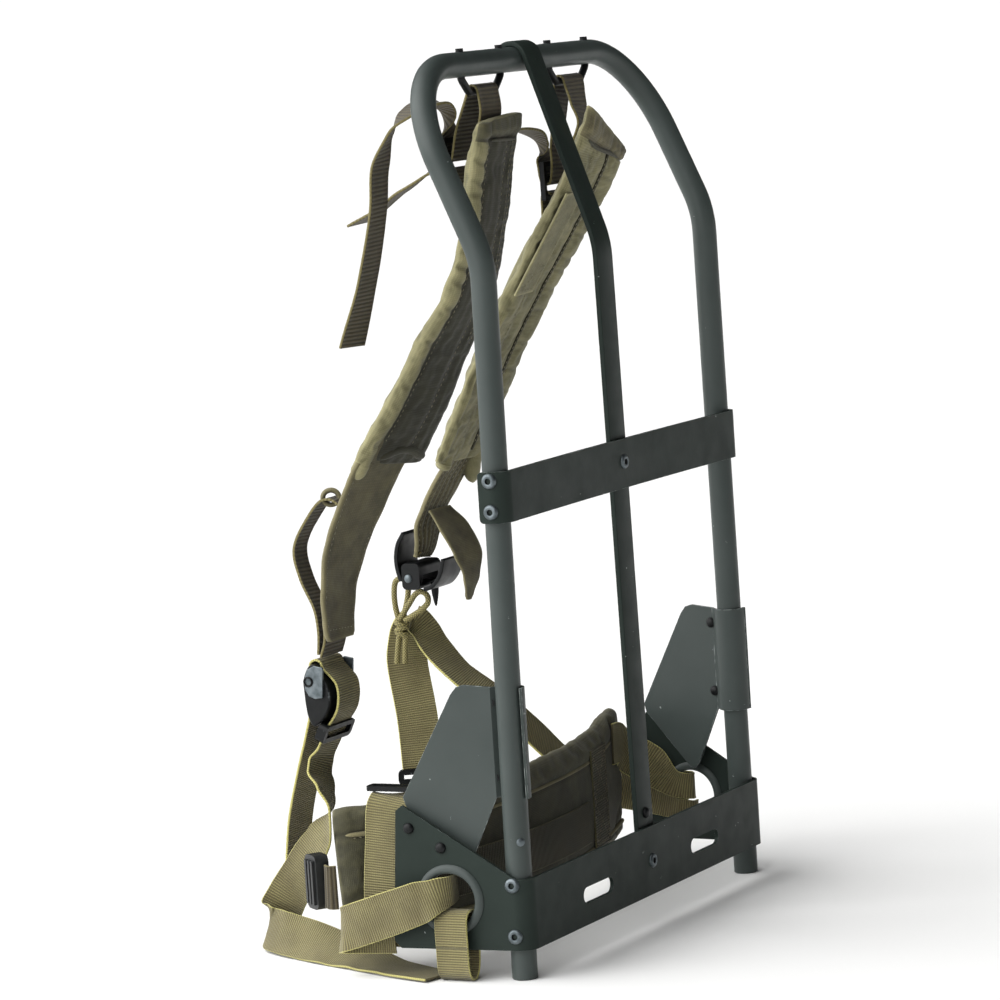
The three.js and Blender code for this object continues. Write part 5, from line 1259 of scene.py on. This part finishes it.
PAD_STRAP_RIGHT = [
    Row(*kidney_face(0.23, 83, SEWN + 0.5), turn=90, lift=90),
    Row(*kidney_face(0.16, 81, SEWN + 1.6), turn=90, lift=90),
    Row(136.5, 70.1, 74.5, turn=90, lift=90), Row(145.5, 61, 65.4, turn=100, lift=86),
    Row(152, 47.5, 52.4, turn=110, lift=88, width=16), Row(158.6, 37.4, 49.6, turn=110, lift=90, width=15.4),
    Row(166, 42, 49.6, turn=110, lift=90, width=16), Row(168, 58, 46, turn=110, lift=88, width=24),
]
BELT_LEFT = [
    Row(-152.3, 112.4, 48, lift=90), Row(-153.8, 116.4, 48, lift=90), Row(-151.4, 120.6, 48.4, lift=90),
]
LOWER_RIGHT = [
    Row(84, 183.4, 71.6, turn=-62), Row(84, 185, 103, turn=-60), Row(84, 189.4, 137.6, turn=-58),
    Row(84.5, 189, 153.6, turn=-58, width=21), Row(84.8, 184, 164, turn=-56, width=17, lift=6),
    Row(87, 178, 158, turn=-40, width=18, lift=12), Row(87.5, 171.4, 147, turn=-15, width=22, lift=18),
    Row(88, 155, 129.6, turn=10, lift=22), Row(94, 134, 113, turn=15, lift=22),
    Row(112, 118, 88, turn=10, lift=24), Row(129, 108.5, 69, turn=20, lift=32),
    Row(143, 101, 57, turn=50, lift=58), Row(152, 87, 48.4, turn=84, lift=78, width=23),
    Row(153.4, 71, 43.6, turn=90, lift=86, width=20), Row(153.4, 55, 39, turn=90, lift=88, width=15),
    Row(154.4, 43, 36.6, turn=90, lift=89, width=11), Row(159, 37.4, 36, turn=90, lift=90, width=9.4),
    Row(164, 37.6, 35.4, turn=90, lift=90, width=10), Row(166, 41.4, 33, turn=90, lift=90, width=10),
]


def build_webbing():
    """The straps: brown webbing with painted shade at the shoulders and the short waist belt, olive webbing
    elsewhere.
    """
    strap("hanger_left", HANGER_LEFT, DARK_WEBBING)
    strap("hanger_right", HANGER_RIGHT, DARK_WEBBING)
    strap("anchor_left", ANCHOR_LEFT, DARK_WEBBING)
    strap("anchor_right", ANCHOR_RIGHT, DARK_WEBBING)
    strap("pull_loop", [row._replace(width=PULL_LOOP_WIDTH) for row in PULL_LOOP], DARK_WEBBING)
    strap("quick_strap_left", QUICK_STRAP_LEFT, DARK_WEBBING)
    strap("quick_strap_right", QUICK_STRAP_RIGHT, DARK_WEBBING)
    strap("lower_strap_left", LOWER_LEFT)
    strap("ring_loop_left", [Row(-x, RING_Y - 2.2, z, turn=90, width=20) for x, z in RING_LOOP], closed=True)
    strap("waist_strap_left", WAIST_LEFT)
    strap("pad_strap_left", PAD_STRAP_LEFT)
    strap("pad_strap_right", PAD_STRAP_RIGHT)
    strap("belt_left", BELT_LEFT, DARK_WEBBING)
    strap("lower_strap_right", LOWER_RIGHT)


def build_tabs():
    """The cloth tabs below the pads, the right one quilted, with the flap and the pull loop's eye."""
    left_rows, right_rows = (
        [row._replace(thick=TAB_THICK) for row in table] for table in (TAB_LEFT, TAB_RIGHT))
    left = strap("shoulder_tab_left", left_rows, TAB_CLOTH, HEMMED, wrinkle=0.35)
    right = strap("shoulder_tab_right", right_rows, TAB_CLOTH, CHANNELLED, wrinkle=0.5)
    turn = np.linspace(0, 2 * math.pi, 40)
    eye = np.array(PULL_EYE) + np.outer(PULL_EYE_WIDE * np.cos(turn), PULL_EYE_ACROSS)
    eye = eye + np.outer(PULL_EYE_HIGH * np.sin(turn), (0, 0, 1))
    cloth_roll("pull_loop_eye", eye, np.full(40, 1.5), TAB_CLOTH, 12)
    strap("tab_flap_right", FLAP_RIGHT, TAB_CLOTH, HEMMED, wrinkle=0.25)
    stitches("tab_left", [seam(left, (0.15, 0.95), (u, u), 1, 0.46) for u in (-0.42, 0.42)]
             + [seam(left, (0.95, 0.95), (-0.42, 0.42), 1, 0.46)])
    channels = (-0.417, -0.25, -0.083, 0.083, 0.25, 0.417)
    stitches("tab_right", [seam(right, (0.12, 0.97), (u, u), 1, 0.4) for u in channels])


# Cords: the plane in x that each loop lies in and its route in (y, z), laid as its solid is with a rounder top
CORD_ROUTES = {
    "cord_front": (75, [
        (188.4, 164.6), (190.2, 175), (189.6, 184.9), (188.2, 188.2), (184.9, 189.6), (181.6, 188.2),
        (180.2, 184.9), (182, 174.4), (185.8, 164.6)]),
    "cord_rear": (71, [
        (185.6, 164.8), (178, 174.8), (173.35, 180.55), (170.45, 182.2), (167.15, 181.6), (165, 179.1),
        (165, 175.7), (167.15, 173.2), (171, 170.4), (181.8, 164.4)]),
}
CORD_STEP = 0.8
KNOT, KNOT_WIDE, KNOT_DEEP = (73, 185.4, 159), 2.6, 2.9


def build_cords():
    """The knot, three leaning turns and two short ends, and the two loops that leave it."""
    x, y, z = KNOT
    bodies = []
    angle = np.linspace(0, 2 * math.pi, 40)
    for lean, height in ((0.5, 3.0), (-0.4, 0.2), (0.35, -2.6)):
        turn = np.stack([x + KNOT_WIDE * np.cos(angle), y + KNOT_DEEP * np.sin(angle),
                         z + height + lean * KNOT_WIDE * np.sin(angle)], 1)
        bodies.append(cord_tube(turn, CORD_R))
    for shift, tip in ((0.4, 188), (-0.2, 183.6)):
        knots = [(x, tip - 1, z - 2), (x - 0.5, tip + shift, z - 10), (x - 1, tip + 2 * shift + 1, z - 21)]
        bodies.append(cord_tube(sample_route(knots, CORD_STEP)[0], CORD_R))
    points, faces, places = [], [], []
    for body_points, body_faces, body_places, _ in bodies:
        faces += [tuple(i + len(points) for i in face) for face in body_faces]
        points += list(body_points)
        places += list(body_places)
    knot = make("tied_cord_knot", np.array(points), faces, [CORD], ["cord_knot"], np.array(places),
                crisp=60)
    for name, (plane, route) in CORD_ROUTES.items():
        path, _ = sample_route([(plane, *spot) for spot in route], CORD_STEP)
        points, faces, places, length = cord_tube(path, CORD_R)
        loop = make("tied_" + name, points, faces, [CORD], [name], places, crisp=60)


# Small fittings keep their own solids, with rounded edges and a finish
FITTINGS = {
    "slider_left": BLACK, "slider_right": BLACK, "strap_keeper_left": BLACK, "pad_slider_left": BLACK,
    "waist_buckle_left": NYLON, "quick_frame_right": BLACK, "strap_end_right": BLACK,
}
QUICK_RIGHT = (73, 169.3, 193)
FRONT_LEVER = [(7.6, -3), (9.6, 4), (10, 12), (8, 20), (4, 26)]
REAR_LEVER = [(-8, -8), (-13.5, -6), (-19, 0.5), (-22, 10)]
LEVER_WIDTH, LEVER_THICK = 26, 2.6
LEVER_CHEEK = rounded([
    (-7.8, 1), (-3, 0), (1, 1.2), (3.7, 5), (4.2, 11), (2.6, 16.5), (-2, 19.2), (-7.8, 18.6)], 0.9)
CHEEK_THICK = 1.7
QUICK_BODY = [
    (5.6, 3), (6.2, 9), (4.8, 14.5), (2.8, 18), (0, 19.6), (-2.8, 18.4), (-5.4, 14), (-9.4, 9.5),
    (-11.2, 4), (-11.2, -4), (-8.8, -9.5), (-5, -14), (-1, -16.5), (2.4, -12.5), (4.4, -5)]
QUICK_HALF, CHEEK_OUTER, CHEEK_INNER = 16.6, -18.6, 16.9
LEVER_PIN = [(0, -1), (3.1, -1), (3.1, 0.5), (2.7, 0.9), (2.2, 0.9), (1.9, 0.4), (1.8, -0.6), (0, -0.6)]
HOOK_PIN = [(0, -3), (2.3, -3), (2.4, 0), (2.1, 4), (1.4, 8), (0.7, 11), (0, 12)]
LEVER_BOLT = [(0, -1), (2.6, -1), (2.6, 0.3), (2.2, 0.9), (1.2, 1.3), (0, 1.4)]


def block_along_x(name, profile, low, high, soft, finish, stands_for, turn):
    """A solid with one profile of (y, z) across its width, turned and moved by a matrix, with soft edges."""
    curve = np.array([(0, *p) for p in profile])
    points, faces = loft(np.stack([curve + (x, 0, 0) for x in (low, high)]))
    points = np.array([turn @ Vector(p) for p in points])
    piece = make(name, points, faces, fitting_finishes(finish), stands_for, crisp=40)
    round_edges(piece, soft, 3, 50)


def turned_fitting(name, profile, spot, direction, finish, crisp):
    """A small turned pin or bolt head that stands on a spot."""
    points, faces = lathe(profile)
    make("turned_" + name, aimed(points, spot, direction), faces, [finish], crisp=crisp)


def build_quick_releases():
    """The left quick release with its steel cheeks, and the levers, hook and bolts of the right one."""
    turn = Matrix.Translation(QUICK_LEFT) @ Matrix.Rotation(QUICK_LEAN, 4, "X")
    body = sample_route([(0, *p) for p in QUICK_BODY], 1.2, True)[0][:, 1:]
    block_along_x("cast_quick_frame_left", body, -QUICK_HALF, QUICK_HALF, 1.2, BLACK,
                  ["quick_frame_left"], turn)
    for side, low, nodes in (("outer", CHEEK_OUTER, ["quick_lever_left"]), ("inner", CHEEK_INNER, [])):
        block_along_x("pressed_lever_cheek_" + side, LEVER_CHEEK, low, low + CHEEK_THICK, 0.5, STEEL,
                      nodes, turn)
    pin_seat = turn @ Vector((CHEEK_OUTER, 1.4, 9.6))
    turned_fitting("lever_pin", LEVER_PIN, pin_seat, (-1, 0, 0), RUBBED_BLACK, 40)
    x, y, z = QUICK_RIGHT
    for name, route in (("quick_lever_right", FRONT_LEVER), ("quick_hook_right", REAR_LEVER)):
        rows = [Row(x, y + a, z + b, width=LEVER_WIDTH, thick=LEVER_THICK) for a, b in route]
        strap(name, rows, BLACK, PRESSED, prefix="pressed_", step=1)
    turned_fitting("hook_pin", HOOK_PIN, (x, y - 8.6, z - 8), (0, 0, -1), BLACK, 50)
    for side, sign in (("outer", -1), ("inner", 1)):
        seat = (x + sign * 14, y + 1.6, z - 1.2)
        turned_fitting("lever_bolt_" + side, LEVER_BOLT, seat, (sign, 0, 0), STEEL, 40)


def finish_fittings():
    """Gives the small fittings that keep their solids a finish and rounded edges."""
    for name, finish in FITTINGS.items():
        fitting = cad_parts[name]
        fitting.data.materials.clear()
        for coat in fitting_finishes(finish):
            fitting.data.materials.append(coat)
        round_edges(fitting, 0.45, 2, 35)


# Studio
CAMERA_AZIMUTH, CAMERA_ELEVATION, CAMERA_ROLL = -62.212, 6.438, -3.743
CAMERA_DISTANCE = 2558.4
CAMERA_TARGET = (-140.417, 0, 264.686)
CAMERA_LENS = 168.7


def camera_axes():
    """Right, up and back vectors of the photo's camera."""
    a, e, r = (math.radians(x) for x in (CAMERA_AZIMUTH, CAMERA_ELEVATION, CAMERA_ROLL))
    back = Vector((math.sin(a) * math.cos(e), -math.cos(a) * math.cos(e), math.sin(e)))
    right = Vector((math.cos(a), math.sin(a), 0))
    up = back.cross(right)
    return right * math.cos(r) + up * math.sin(r), up * math.cos(r) - right * math.sin(r), back


def set_camera():
    """The camera that took the photo."""
    right, up, back = camera_axes()
    spot = Vector(place(CAMERA_TARGET)) + back * CAMERA_DISTANCE * MM
    data = bpy.data.cameras.new("studio_camera")
    data.lens = CAMERA_LENS
    data.clip_end = 1000
    camera = bpy.data.objects.new("studio_camera", data)
    turn = Matrix((right, up, back)).transposed()
    camera.matrix_world = Matrix.Translation(spot) @ turn.to_4x4()
    SCENE.collection.objects.link(camera)
    SCENE.camera = camera


def soft_light(name, spot, energy, size):
    """A square lamp that looks at the middle of the frame from a spot in metres."""
    data = bpy.data.lights.new(name, "AREA")
    data.energy = energy
    data.size = size
    lamp = bpy.data.objects.new(name, data)
    lamp.location = spot
    aim = Vector((0, 0, 0.25)) - Vector(spot)
    lamp.rotation_euler = aim.to_track_quat("-Z", "Y").to_euler()
    SCENE.collection.objects.link(lamp)


def light_studio():
    """A white room, bright on the photo's left and dim on its right, with one soft lamp on the bright side."""
    right, _, back = camera_axes()
    level_back = Vector((back.x, back.y, 0)).normalized()
    soft_light("key_light", -right * 1.5 + level_back * 0.7 + Vector((0, 0, 1.5)), 7, 1.2)
    bright_side = (-right * 0.78 + level_back * 0.22 + Vector((0, 0, 0.42))).normalized()
    world = bpy.data.worlds.new("white_room")
    world.use_nodes = True
    tree = world.node_tree
    heading = add(tree, "TexCoord").outputs["Generated"]
    facing = add(tree, "VectorMath", {0: heading, 1: bright_side}, operation="DOT_PRODUCT").outputs["Value"]
    glow = add(tree, "MapRange", {"Value": facing, 1: 0.25, 2: 1.0, 3: 0.03, 4: 3.5},
               interpolation_type="SMOOTHSTEP")
    wire(tree, tree.nodes["Background"], {"Color": (1, 1, 1, 1), "Strength": glow})
    SCENE.world = world
    SCENE.view_settings.view_transform = "Standard"


def lay_floor():
    """White paper that lies flat under the frame and rises far away, so that no horizon shows."""
    flat, far, rise = 20, 400, 5
    mesh = bpy.data.meshes.new("studio_floor")
    corners = [(-1, -1), (1, -1), (1, 1), (-1, 1)]
    points = [(x * flat, y * flat, 0) for x, y in corners] + [(x * far, y * far, rise) for x, y in corners]
    mesh.from_pydata(points, [], [(0, 1, 2, 3)] + [(k, k + 4, (k + 1) % 4 + 4, (k + 1) % 4) for k in range(4)])
    mesh.materials.append(pale_floor())
    floor = bpy.data.objects.new("studio_floor", mesh)
    SCENE.collection.objects.link(floor)


set_camera()
build_cords()
build_frame()
build_left_pad()
build_right_pad()
build_kidney_pad()
build_webbing()
build_tabs()
finish_fittings()
build_quick_releases()
light_studio()
lay_floor()
